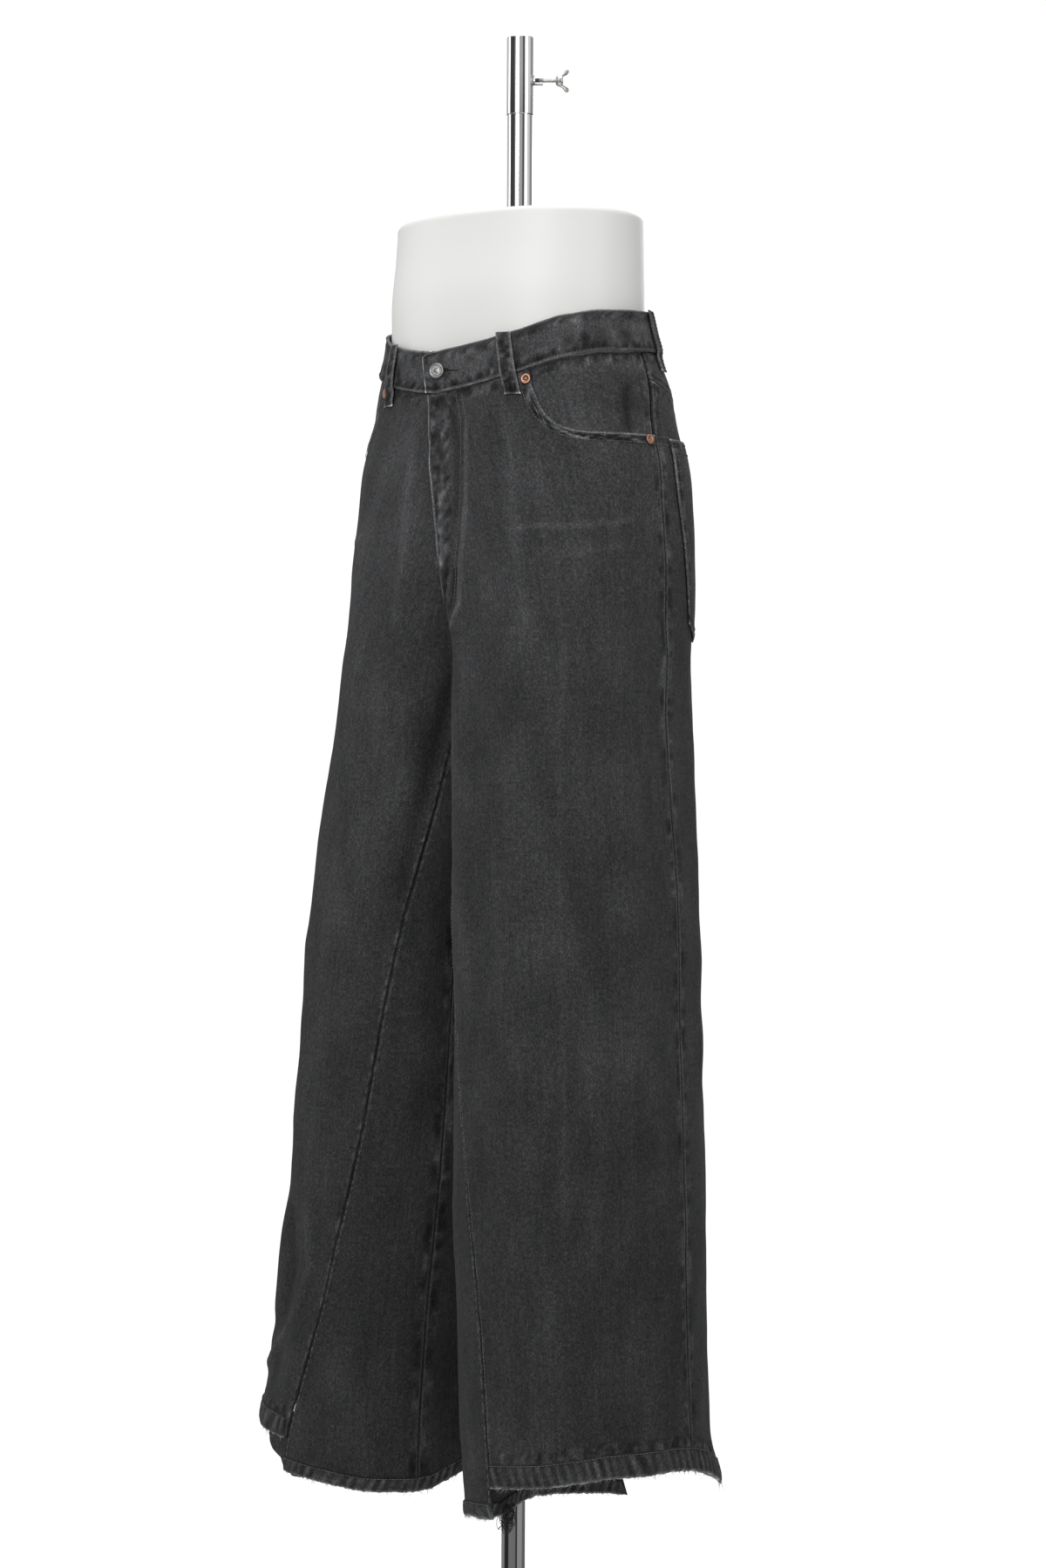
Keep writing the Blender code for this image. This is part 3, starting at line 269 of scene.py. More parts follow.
# Creases, worn streaks and folds with painted shade: side, half width, height, tone and a path of (phi, z). The
# tone is in stops of reflectance, + for worn pale, - for painted shade that darkens the sunk folds and creases.
MARKS = (
    ("left", 0.0022, 0.0006, 1.35,
     ((-74.8, 1.165), (-74.8, 1.144), (-85, 1.074), (-96.2, 1.010), (-101, 0.975), (-110, 0.958),
      (-124, 0.951))),
    ("left", 0.0045, -0.0012, -0.84, ((-93.0, 1.140), (-94.5, 1.098), (-98.5, 1.058), (-108, 1.030))),
    ("left", 0.0062, 0.0008, 1.50, ((-99, 1.090), (-103.5, 1.056), (-109, 1.026), (-114, 1.000))),
    ("left", 0.0034, -0.0022, -1.80, ((-106, 1.012), (-110, 0.992), (-115.5, 0.974), (-121, 0.962))),
    ("left", 0.0030, -0.0012, -1.10, ((-99, 1.012), (-104, 0.985), (-112, 0.963))),
    ("left", 0.0030, 0.0008, 0.90, ((-105, 1.005), (-109, 0.985), (-115, 0.968))),
    ("left", 0.0050, 0.0005, 0.60, ((-90, 1.158), (-92, 1.120), (-96, 1.075))),
    ("left", 0.0030, -0.0010, -0.90, ((-82, 1.160), (-84, 1.120), (-90, 1.080), (-95, 1.045))),
    ("left", 0.0060, 0.0007, 0.34, ((-52, 1.150), (-55, 1.125), (-61.2, 1.057), (-63, 0.990), (-62, 0.93))),
    ("left", 0.0024, 0.0004, 0.34, ((-44.2, 1.015), (-50.8, 0.815), (-52.5, 0.587), (-52, 0.350))),
    ("left", 0.0030, 0.0006, 0.58, ((-66, 1.040), (-50, 1.044), (-38, 1.043), (-20, 1.047), (-3, 1.053))),
    ("left", 0.0040, 0.0006, 0.29, ((-58, 1.022), (-40, 1.018), (-24, 1.024), (-8, 1.026))),
    ("left", 0.0180, 0.0018, 0.13, ((-22.5, 0.990), (-14.5, 0.815), (-8.8, 0.662), (-6, 0.500))),
    ("left", 0.0220, -0.0018, -0.13, ((-34, 0.960), (-30, 0.780), (-30, 0.600))),
    ("left", 0.0200, 0.0022, 0.09, ((-78, 0.900), (-72, 0.700), (-76, 0.480), (-78, 0.300))),
    ("left", 0.0180, -0.0020, -0.13, ((-96, 0.890), (-92, 0.700), (-94, 0.520))),
    ("left", 0.0036, 0.0006, 0.53,
     ((-118, 0.945), (-115, 0.850), (-116, 0.776), (-124, 0.680), (-127.8, 0.619), (-124, 0.504),
      (-131, 0.347), (-134, 0.230))),
    ("left", 0.0120, -0.0035, -0.22, ((148, 0.938), (120, 0.915), (88, 0.900), (66, 0.905))),
    ("left", 0.0100, 0.0024, 0.13, ((150, 0.915), (124, 0.888), (96, 0.870))),
    ("left", 0.0110, -0.0026, -0.18, ((140, 0.660), (112, 0.640), (84, 0.648), (60, 0.665))),
    ("left", 0.0090, 0.0020, 0.11, ((132, 0.625), (108, 0.606), (86, 0.612))),
    ("left", 0.0150, 0.0026, 0.07, ((52, 0.900), (46, 0.700), (44, 0.520))),
    ("left", 0.0140, -0.0022, -0.11, ((78, 0.830), (74, 0.690), (80, 0.560))),
    ("right", 0.0060, 0.0016, 0.48,
     ((-78, 1.145), (-83.5, 1.11), (-87.5, 1.069), (-95.8, 1.02), (-96.2, 0.985), (-105, 0.935))),
    ("right", 0.0090, -0.0028, -0.48,
     ((-136, 0.925), (-132, 0.880), (-128, 0.820), (-125.5, 0.780), (-122, 0.700))),
    ("right", 0.0100, 0.0022, 0.18, ((-114, 0.925), (-112, 0.830), (-110, 0.720))),
    ("right", 0.0055, 0.0028, 0.48,
     ((-82.2, 0.440), (-90.8, 0.372), (-82, 0.329), (-50.8, 0.276), (-30, 0.255))),
    ("right", 0.0100, -0.0030, -0.29, ((-70, 0.430), (-74, 0.370), (-64, 0.318), (-40, 0.300))),
    ("right", 0.0140, 0.0014, 0.18, ((-58, 1.088), (-72.5, 0.975), (-89.5, 0.814), (-90, 0.640))),
    ("right", 0.0140, -0.0016, -0.13, ((-44, 1.060), (-56, 0.930), (-70, 0.780))),
    ("right", 0.0026, 0.0005, 0.29, ((-84, 0.620), (-82, 0.500), (-80, 0.430))),
    ("right", 0.0160, 0.0024, 0.09, ((-60, 0.700), (-62, 0.560), (-58, 0.470))),
    ("right", 0.0120, -0.0035, -0.22, ((148, 0.938), (118, 0.912), (84, 0.902), (62, 0.910))),
    ("right", 0.0100, 0.0024, 0.13, ((148, 0.910), (122, 0.882), (90, 0.868))),
    ("right", 0.0110, -0.0024, -0.18, ((136, 0.640), (108, 0.622), (80, 0.632), (58, 0.648))),
    ("right", 0.0090, 0.0020, 0.11, ((128, 0.606), (104, 0.590), (82, 0.598))),
    ("right", 0.0150, 0.0026, 0.07, ((50, 0.880), (42, 0.700), (46, 0.500))),
    ("right", 0.0140, -0.0022, -0.11, ((74, 0.820), (78, 0.680), (72, 0.540))),
    ("right", 0.0160, 0.0020, 0.07, ((-20, 0.900), (-14, 0.700), (-16, 0.480))),
    ("right", 0.0024, 0.0004, 0.29, ((-44, 1.000), (-50, 0.815), (-54, 0.600))),
    ("right", 0.0030, 0.0006, 0.43, ((-62, 1.046), (-42, 1.040), (-20, 1.046), (-2, 1.054))),
)

# What happens to cloth beside a seam or an edge: the groove's height, the worn line's distance and tone,
# then the distances where puckers start and end, their length, height and tone.
# A sunk groove, with a height below 0, also gets a dark line of painted shade along the seam.
SEAMS = {
    "side": (-0.0010, 0.0018, 1.45, 0.0030, 0.0095, 0.0062, 0.00050, 0.90),
    "insert": (-0.0009, 0.0026, 0.80, 0.0006, 0.0042, 0.0042, 0.00040, 0.80),
    "mid": (-0.0008, 0.0014, 1.15, 0.0020, 0.0095, 0.0090, 0.00060, 0.90),
    "inseam": (-0.0006, 0.0012, 0.60, 0.0010, 0.0080, 0.0060, 0.00050, 0.60),
    "seat": (-0.0008, 0.0012, 1.40, 0.0015, 0.0090, 0.0055, 0.00050, 0.90),
    "waist": (-0.0003, 0.0300, 0.00, 0.0010, 0.0110, 0.0055, 0.00055, 1.00),
    "pocket": (0.0006, 0.0009, 2.60, 0.0024, 0.0088, 0.0026, 0.00050, 2.00),
    "yoke": (-0.0007, 0.0010, 1.70, 0.0015, 0.0095, 0.0048, 0.00055, 1.20),
    "hem": (0.0, 0.0230, 0.35, 0.0190, 0.0300, 0.0045, 0.00050, 1.00),
    "fly": (0.0003, 0.0008, 2.70, 0.0030, 0.0280, 0.0062, 0.00080, 1.05),
    "folded": (0.0002, 0.0008, 2.10, 0.0020, 0.0090, 0.0040, 0.00035, 1.20),
    "band": (0.0, 0.0006, 1.90, 0.0030, 0.0100, 0.0045, 0.00045, 0.90),
    "plain": (0.0, 0.0010, 0.20, 0.0010, 0.0060, 0.0120, 0.00020, 0.25),
}
LINE_WIDE = 0.0011
ROUNDED = ("pocket", "fly", "folded", "band", "plain")


def column(table, name):
    return np.array([row[table[0].index(name)] for row in table[1:]], float)


def along(table, at, value):
    return lambda x: np.interp(x, column(table, at), column(table, value))


def eased(x):
    x = np.clip(x, 0.0, 1.0)
    return x * x * (3.0 - 2.0 * x)


def bell(x):
    return np.exp(-x**2)


def wrapped(degrees):
    return (degrees + 180.0) % 360.0 - 180.0


def unit(vectors):
    return vectors / np.maximum(np.linalg.norm(vectors, axis=-1, keepdims=True), 1e-12)


def level(value):
    """The same value at every angle or height."""
    return lambda x: value + 0.0 * x


def cloud(x, y, seed):
    """Smooth noise over a plane, from -1 to 1, about one lump to a unit."""
    size = 64
    lattice = np.random.default_rng(seed).uniform(-1.0, 1.0, (size, size))
    x, y = np.broadcast_arrays(np.asarray(x, float), np.asarray(y, float))
    i, j = np.floor(x).astype(int), np.floor(y).astype(int)
    u, v = eased(x - i), eased(y - j)
    i0, i1, j0, j1 = i % size, (i + 1) % size, j % size, (j + 1) % size
    low = lattice[i0, j0] * (1 - u) + lattice[i1, j0] * u
    high = lattice[i0, j1] * (1 - u) + lattice[i1, j1] * u
    return low * (1 - v) + high * v


# ---------------------------------------------------------------------------- the cloth's form
def smooth_columns(table, at):
    """The other columns of a table where its first one is at, along smooth curves."""
    knots = table[:, 0]
    slopes = np.gradient(table, knots, axis=0)
    at = np.clip(at, knots[0], knots[-1])
    i = np.clip(np.searchsorted(knots, at) - 1, 0, len(knots) - 2)
    step = np.diff(knots)[i]
    t = (at - knots[i]) / step
    start, end = 2 * t**3 - 3 * t**2 + 1, -2 * t**3 + 3 * t**2
    rise, fall = (t**3 - 2 * t**2 + t) * step, (t**3 - t**2) * step
    return [start * row[i] + end * row[i + 1] + rise * slope[i] + fall * slope[i + 1]
            for row, slope in zip(table.T[1:], slopes.T[1:])]


def folds_at(side, phi, z):
    """Largest folds, flares and the pole's push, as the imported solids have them."""
    total = 0.0 * phi * z
    for fold_side, z_from, phi_from, z_to, phi_to, half_width, height in FOLDS:
        if fold_side == side:
            run = np.array((wrapped(phi_to - phi_from) * TO_ARC, z_to - z_from))
            across, up = wrapped(phi - phi_from) * TO_ARC, z - z_from
            share = (across * run[0] + up * run[1]) / np.dot(run, run)
            distance = (across * run[1] - up * run[0]) / np.hypot(*run)
            ends = eased(share / 0.3 + 0.25) * eased((1.0 - share) / 0.3 + 0.25)
            total = total + height * bell(distance / half_width) * ends
    for flare_side, at, half_angle, reach, top_z, rise in FLARES:
        if flare_side == side:
            total = total + reach * bell(wrapped(phi - at) / half_angle) * eased((top_z - z) / rise)
    if side == "right":
        near = bell(wrapped(phi - POLE_BULGE_PHI) / POLE_BULGE_HALF_ANGLE)
        total = total + along(POLE_BULGE, "z", "reach")(z) * near
    return total


def marks_at(side, phi, z):
    """Height and tone of the creases, worn streaks and painted fold shade of MARKS."""
    height, tone = 0.0 * phi * z, 0.0 * phi * z
    for number, (mark_side, half_width, mark_height, mark_tone, path) in enumerate(MARKS):
        if mark_side != side:
            continue
        path = np.array(path)
        lengths = np.hypot(np.diff(path[:, 0]) * TO_ARC, np.diff(path[:, 1]))
        starts = np.concatenate(([0.0], np.cumsum(lengths)))
        best, at = np.full(np.shape(height), 1.0), np.zeros(np.shape(height))
        for k in range(len(path) - 1):
            run = (path[k + 1] - path[k]) * (TO_ARC, 1.0)
            across, up = wrapped(phi - path[k, 0]) * TO_ARC, z - path[k, 1]
            share = np.clip((across * run[0] + up * run[1]) / np.dot(run, run), 0.0, 1.0)
            distance = np.hypot(across - share * run[0], up - share * run[1])
            nearer = distance < best
            best = np.where(nearer, distance, best)
            at = np.where(nearer, starts[k] + share * lengths[k], at)
        share = at / starts[-1]
        uneven = 1.0 + 0.45 * cloud(at / 0.035, 0.5, 100 + number)
        near = bell(best / half_width) * eased(share / 0.16) * eased((1.0 - share) / 0.16) * uneven
        height = height + mark_height * near
        tone = tone + mark_tone * near
    return height, tone


def surface(side, phi, z, fine=False):
    """Outer face of the cloth in the garment's frame; fine adds the creases."""
    phi, z = np.broadcast_arrays(np.asarray(phi, float), np.asarray(z, float))
    centre_x, outer, inner, centre_y, front, back, n_outer, n_inner = smooth_columns(RINGS, z)
    centre_x = np.maximum(centre_x, 0.0)
    c, s = np.cos(np.radians(phi)), np.sin(np.radians(phi))
    n = np.where(c > 0, n_outer, n_inner)
    reach_x = np.where(c > 0, outer, inner)
    reach_y = np.where(s > 0, back, front)
    r = ((np.abs(c) / reach_x) ** n + (np.abs(s) / reach_y) ** n) ** (-1.0 / n)
    r = r + folds_at(side, phi, z)
    if fine:
        arc, seed = np.radians(phi) * LEG_RADIUS, SIDES.index(side)
        loose = eased((1.10 - z) / 0.25)
        r = r + marks_at(side, phi, z)[0]
        r = r + 0.0011 * loose * cloud(arc / 0.034 + 3.0, z / 0.085, 11 + seed)
        r = r + 0.0004 * cloud(arc / 0.012, z / 0.022, 13 + seed)
    return np.stack((MIRROR[side] * (centre_x + r * c), centre_y + r * s, z), axis=-1)


def phi_at_x(z, towards, x):
    """Angle at which the left leg's form meets a plane of constant X, in front (-1) or behind (+1)."""
    near, far = np.full_like(z, 90.0 * towards), np.full_like(z, 180.0 * towards)
    for _ in range(24):
        middle = 0.5 * (near + far)
        beyond = surface("left", middle, z)[..., 0] < x
        near, far = np.where(beyond, near, middle), np.where(beyond, middle, far)
    return near


PLANE_Z = np.concatenate((np.linspace(0.936, 0.966, 241), np.linspace(0.967, 1.260, 200)))
PLANE_PHI = {towards: phi_at_x(PLANE_Z, float(towards), GAP / 2) for towards in (-1, 1)}


def phi_at_plane(z, towards):
    return np.interp(z, PLANE_Z, PLANE_PHI[towards])


def waist_seam(phi):
    return along(WAIST_TOP, "phi", "z")(np.abs(wrapped(phi + 90.0)) - 90.0) - BAND_HEIGHT


def front_inner_phi(side, z):
    below = np.where(z > APEX_Z, INSEAM_PHI, along(INSERT_FRONT, "z", side)(z))
    return np.where(z > CROTCH_Z, np.maximum(phi_at_plane(z, -1), INSEAM_PHI), below)


def back_inner_phi(z):
    """Insert and inner-leg seam below; above the crotch it moves evenly onto the seat seam's plane."""
    below = np.where(z > APEX_Z, MID_SEAM_PHI, along(INSERT_BACK, "z", "phi")(z))
    above = phi_at_plane(np.maximum(z, CROTCH_Z + 0.002), 1)
    return below + (above - below) * eased((z - CROTCH_Z + 0.002) / 0.034)


def side_phi(z):
    return along(SIDE_SEAM, "z", "phi")(z)


def front_top(phi):
    return np.minimum(waist_seam(phi), along(POCKET_EDGE, "phi", "z")(phi)) - GAP


def yoke_seam(phi):
    return along(YOKE_SEAM, "phi", "z")(phi)


# ---------------------------------------------------------------------------- grids
EDGE_STEPS = np.array((0.0, 0.0005, 0.0010, 0.0016, 0.0026, 0.0042, 0.0066, 0.0098))
GRID_STEP = 0.0029                  # between the rows of a leg's panels
LOW_ROWS, HIGH_ROWS = 0.060, 0.066  # heights over which rows turn from a panel's ends to level


def spread(width, count):
    """Shares across a row: close together at both edges, even between them."""
    k = min(1.0, width / (3.0 * EDGE_STEPS[-1]))
    edge = EDGE_STEPS * k / width
    inner = np.linspace(edge[-1], 1.0 - edge[-1], count)[1:-1]
    return np.concatenate((edge, inner, 1.0 - edge[::-1]))


def edged(size, edge_count, margin, count):
    """Shares across a size: a few steps at both edges and even ones between the margins."""
    edge = EDGE_STEPS[:edge_count] / size
    return np.concatenate((edge, np.linspace(margin, 1.0 - margin, count), 1.0 - edge[::-1]))


def turning(edge_count, size):
    """Shares of the rows from a panel's end to its level rows, closest together at the end."""
    even = np.arange(EDGE_STEPS[edge_count], size, GRID_STEP)
    return np.concatenate((EDGE_STEPS[:edge_count], even)) / size


def moving_row(side, ends, height, count):
    """One row of a piece whose height depends on the angle, which depends on the height. The ends are
    the angles of its left and right edges by height."""
    left_phi, right_phi = ends

    def settled(shares, z):
        for _ in range(7):
            phi = left_phi(z) + (right_phi(z) - left_phi(z)) * shares
            z = height(phi) + 0.0 * shares
        return phi, z

    shares = np.linspace(0.0, 1.0, count + 2 * len(EDGE_STEPS) - 2)
    phi, z = settled(shares, 0.0 * shares + height(left_phi(0.6)))
    width = float(np.linalg.norm(np.diff(surface(side, phi, z), axis=0), axis=1).sum())
    return settled(spread(width, count), z)


def rows_between(side, ends, bottom, top, shares, count):
    """Rows from a bottom edge, where the share is 0, to a top edge; both are heights by angle."""
    return [moving_row(side, ends, lambda p, s=share: bottom(p) + (top(p) - bottom(p)) * s, count)
            for share in shares]


def grid_of(rows):
    """phi and z of all rows, as two grids."""
    return [np.array(values) for values in zip(*rows)]


def leg_grid(side, ends, bottom, top, count, level_top=LEVEL_Z):
    """phi and z over a panel: level rows, turning to follow its bottom and its top."""
    rows = rows_between(side, ends, bottom, level(HEM_LEVEL_Z), turning(6, LOW_ROWS), count)
    for height in np.arange(HEM_LEVEL_Z + GRID_STEP / 2, level_top, GRID_STEP):
        rows.append(moving_row(side, ends, level(height), count))
    if top is not None:
        rows += rows_between(side, ends, level(level_top), top, 1.0 - turning(7, HIGH_ROWS)[::-1], count)
    return grid_of(rows)


def grid_normals(points):
    """Unit normals of a grid of points, rows going up and columns to the right as seen from outside."""
    return unit(np.cross(np.gradient(points, axis=1), np.gradient(points, axis=0)))


def run_lengths(points, axis):
    """Distance of each point from the first one along its row or column, and from the last one."""
    steps = np.linalg.norm(np.diff(points, axis=axis), axis=-1)
    pad = [(0, 0), (0, 0)]
    pad[axis] = (1, 0)
    length = np.cumsum(np.pad(steps, pad), axis=axis)
    return length, length.take([-1], axis=axis) - length


class Cloth:
    """A piece of cloth: its outer face as a grid of points in the garment's frame, with what its
    seams do to it. Edges are named left, right, bottom and top, as the grid is seen from outside."""

    def __init__(self, name, points, edges, tone, seed, out=0.0, thick=DENIM, weave=None):
        self.name, self.thick = name, thick
        self.normal = grid_normals(points)
        self.points = points + out * self.normal
        across, across_back = run_lengths(points, 1)
        up, up_back = run_lengths(points, 0)
        self.distances = {"left": (across, up), "right": (across_back, up),
                          "bottom": (up, across), "top": (up_back, across)}
        self.tone = tone
        self.sunk = np.zeros(points.shape[:2])
        for number, (edge, look) in enumerate(sorted(edges.items())):
            self.lay(look, edge, seed * 10 + number)
        across, up = weave or (across, up)
        self.cloth = np.stack((across + 0.37 * seed, up + 0.23 * seed, np.zeros_like(up)), axis=-1)

    def lay(self, look, edge, seed, weight=1.0, distance=None):
        """A seam's look beside an edge, where weight is 1."""
        measured, run = self.distances[edge]
        distance = measured if distance is None else distance
        offset, tone = seam_look(look, distance, run, seed)
        self.points = self.points + (offset * weight)[..., None] * self.normal
        self.tone = self.tone + tone * weight
        if look in ROUNDED:
            radius = 0.5 * self.thick
            inside = np.clip(1.0 - distance / radius, 0.0, 1.0) * (np.asarray(weight) > 0.5)
            self.sunk = np.maximum(self.sunk, radius * (1.0 - np.sqrt(np.maximum(1.0 - inside**2, 0.0))))

    def line(self, edge, distance, lift=0.0002):
        """Points and normals along a line at a distance from an edge."""
        grids = [self.distances[edge][0], self.points, self.normal]
        if edge in ("bottom", "top"):
            grids = [grid.swapaxes(0, 1) for grid in grids]
        rows = []
        for values, places, facings in zip(*grids):
            order = np.argsort(values)
            if values.max() >= distance:
                rows.append([np.interp(distance, values[order], part[order, axis])
                             for part in (places, facings) for axis in range(3)])
        points, normals = np.hsplit(np.array(rows), 2)
        return points + lift * normals, normals

    def build(self, materials, stands_for=()):
        outer = self.points - self.sunk[..., None] * self.normal
        inner = self.points - (self.thick - self.sunk)[..., None] * self.normal
        wall = wall_object(self.name, outer, inner, self.tone, self.cloth, materials)
        return owned(wall, "denim", stands_for)


def seam_look(look, distance, run, seed):
    groove, line_at, line_tone, start, end, long, high, pucker_tone = SEAMS[look]
    uneven = cloud(run / long, distance / 0.006, seed)
    finer = cloud(run / (0.45 * long), distance / 0.004, seed + 50)
    window = eased((distance - start) / 0.0016 + 0.5) * eased((end - distance) / 0.0030 + 0.5)
    offset = groove * bell(distance / 0.0008) + high * (uneven + 0.4 * finer) * window
    worn = 0.75 + 0.35 * cloud(run / 0.024, 0.5, seed + 70)
    tone = line_tone * bell((distance - line_at) / LINE_WIDE) * worn
    tone = tone + pucker_tone * (1.3 * uneven + 0.5 * finer - 0.15) * window
    # Painted shade: a dark line in the groove of a sunk seam.
    tone = tone - (1.1 + 0.5 * finer) * bell(distance / 0.0009) * (groove < 0.0)
    return offset, tone


# ---------------------------------------------------------------------------- meshes
def new_object(name, data, materials=()):
    for material in materials:
        data.materials.append(material)
    obj = bpy.data.objects.new(name, data)
    bpy.context.scene.collection.objects.link(obj)
    return obj


def owned(obj, slot, stands_for=(), body=BODY):
    """Tells which body an object rides, which nodes it stands for and its material slot."""
    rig.ride(obj, body)
    if stands_for:
        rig.replaces(obj, *stands_for)
    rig.slot(obj, slot)
    return obj


def mesh_of(shape, name):
    """A mesh from a bmesh, which is freed."""
    mesh = bpy.data.meshes.new(name)
    shape.to_mesh(mesh)
    shape.free()
    return mesh


def smoothed(mesh, angle):
    mesh.shade_smooth()
    mesh.set_sharp_from_angle(angle=math.radians(angle))


def wall_object(name, outer, inner, tone, cloth, materials):
    """Closed wall between two grids; the inner face takes the second material."""
    rows, columns = outer.shape[:2]
    count = rows * columns
    index = np.arange(count).reshape(rows, columns)
    a, b, c, d = index[:-1, :-1], index[:-1, 1:], index[1:, 1:], index[1:, :-1]
    quads = np.stack((a, b, c, d), axis=-1).reshape(-1, 4)
    ring = np.concatenate((index[0, :], index[1:, -1], index[-1, -2::-1], index[-2:0:-1, 0]))
    after = np.roll(ring, -1)
    rim = np.stack((after, ring, ring + count, after + count), axis=-1)
    faces = np.concatenate((quads, quads[:, ::-1] + count, rim))
    points = np.concatenate((outer.reshape(-1, 3), inner.reshape(-1, 3))) + GARMENT_AT
    mesh = bpy.data.meshes.new(name)
    mesh.from_pydata(points.tolist(), [], faces.tolist())
    side = np.zeros(len(faces), np.int32)
    side[len(quads):2 * len(quads)] = len(materials) - 1
    mesh.polygons.foreach_set("material_index", side)
    add_attributes(mesh, np.tile(tone.reshape(-1), 2), np.tile(cloth.reshape(-1, 3), (2, 1)))
    smoothed(mesh, 62)
    return new_object(name, mesh, materials)


def add_attributes(mesh, tone, cloth):
    for name, kind, field, values in (("tone", "FLOAT", "value", tone),
                                      ("cloth", "FLOAT_VECTOR", "vector", cloth)):
        mesh.attributes.new(name, kind, "POINT").data.foreach_set(field, values.astype(np.float32).ravel())


def tubes_object(name, lines, ups, radii, sides, material):
    """Many thin tubes as one mesh: lines is (count, points, 3), ups their outward directions."""
    count, steps = lines.shape[:2]
    tangent = unit(np.gradient(lines, axis=1))
    across = unit(np.cross(tangent, ups))
    outward = np.cross(across, tangent)
    turn = 2.0 * math.pi * np.arange(sides) / sides + math.pi / sides
    spokes = across[:, :, None] * np.cos(turn)[:, None] + outward[:, :, None] * np.sin(turn)[:, None]
    rings = (lines[:, :, None] + radii[..., None, None] * spokes).reshape(-1, 3)
    index = np.arange(len(rings)).reshape(count, steps, sides)
    after = np.roll(index, -1, axis=2)
    walls = np.stack((after[:, :-1], after[:, 1:], index[:, 1:], index[:, :-1]), axis=-1).reshape(-1, 4)
    caps = np.concatenate((index[:, 0, ::-1], index[:, -1]))
    mesh = bpy.data.meshes.new(name)
    mesh.from_pydata((rings + GARMENT_AT).tolist(), [], walls.tolist() + caps.tolist())
    mesh.shade_smooth()
    add_attributes(mesh, np.zeros(len(rings)), rings * (1.0, 1.0, 0.0))
    return owned(new_object(name, mesh, [material]), "denim")


THREAD = 0.00034


def stitches_along(points, normals, long=0.0027, gap=0.0007):
    """Stitches laid end to end along a line, each bowed up a little between its two holes."""
    lengths = np.concatenate(([0.0], np.cumsum(np.linalg.norm(np.diff(points, axis=0), axis=1))))
    starts = np.arange(0.0, lengths[-1] - long, long + gap)

    def at(distance, values):
        return np.stack([np.interp(distance, lengths, values[:, axis]) for axis in range(3)], axis=-1)

    stops = starts[:, None] + long * np.array((0.0, 0.5, 1.0))
    ups = at(stops, normals)
    bow = 0.00012 * np.array((-1.2, 1.0, -1.2))
    return at(stops, points) + ups * bow[:, None], ups


def stitching(name, rows, material, radius=THREAD):
    """All stitches of several rows in one mesh; a row is (points, normals), or has its own sizes too."""
    lines, ups = (np.concatenate(parts) for parts in zip(*(stitches_along(*row) for row in rows)))
    radii = radius * np.tile(np.array((0.75, 1.0, 0.75)), (len(lines), 1))
    tubes_object(name, lines, ups, radii, 4, material)


# ---------------------------------------------------------------------------- materials
class Nodes:
    """Writes the nodes of a material or a world as nested calls."""

    def __init__(self, owner):
        owner.use_nodes = True
        self.owner = owner
        self.tree = owner.node_tree

    def put(self, socket, value):
        if isinstance(value, bpy.types.NodeSocket):
            self.tree.links.new(value, socket)
        else:
            socket.default_value = value

    def node(self, kind, inputs, output=0, **settings):
        node = self.tree.nodes.new(kind)
        for key, value in settings.items():
            setattr(node, key, value)
        for key, value in inputs.items():
            self.put(node.inputs[key], value)
        return node.outputs[output]

    def math(self, operation, a, b=0.0):
        return self.node("ShaderNodeMath", {0: a, 1: b}, operation=operation)

    def attribute(self, name, output):
        return self.node("ShaderNodeAttribute", {}, output, attribute_name=name)

    def position(self):
        return self.node("ShaderNodeNewGeometry", {}, "Position")

    def scaled(self, vector, scale):
        return self.node("ShaderNodeVectorMath", {0: vector, 1: scale}, operation="MULTIPLY")

    def tinted(self, colour, factor):
        return self.node("ShaderNodeVectorMath", {0: colour, "Scale": factor}, operation="SCALE")

    def noise(self, vector, scale, detail=2.0, roughness=0.5):
        return self.node("ShaderNodeTexNoise", {"Vector": self.scaled(vector, scale), "Scale": 1.0,
                                                "Detail": detail, "Roughness": roughness})

    def centred(self, value, amount):
        return self.math("MULTIPLY", self.math("SUBTRACT", value, 0.5), amount)

    def mixed(self, *pairs):
        """Sum of values centred on 0, from (value, amount) pairs."""
        total = self.centred(*pairs[0])
        for pair in pairs[1:]:
            total = self.math("ADD", total, self.centred(*pair))
        return total

    def stops(self, total):
        return self.math("POWER", 2.0, total)

    def bump(self, height, distance, strength, **more):
        inputs = {"Height": height, "Distance": distance, "Strength": strength, **more}
        return self.node("ShaderNodeBump", inputs)

    def shader(self, **inputs):
        shader = self.tree.nodes["Principled BSDF"]
        for key, value in inputs.items():
            self.put(shader.inputs[key.replace("_", " ")], value)
        return self.owner


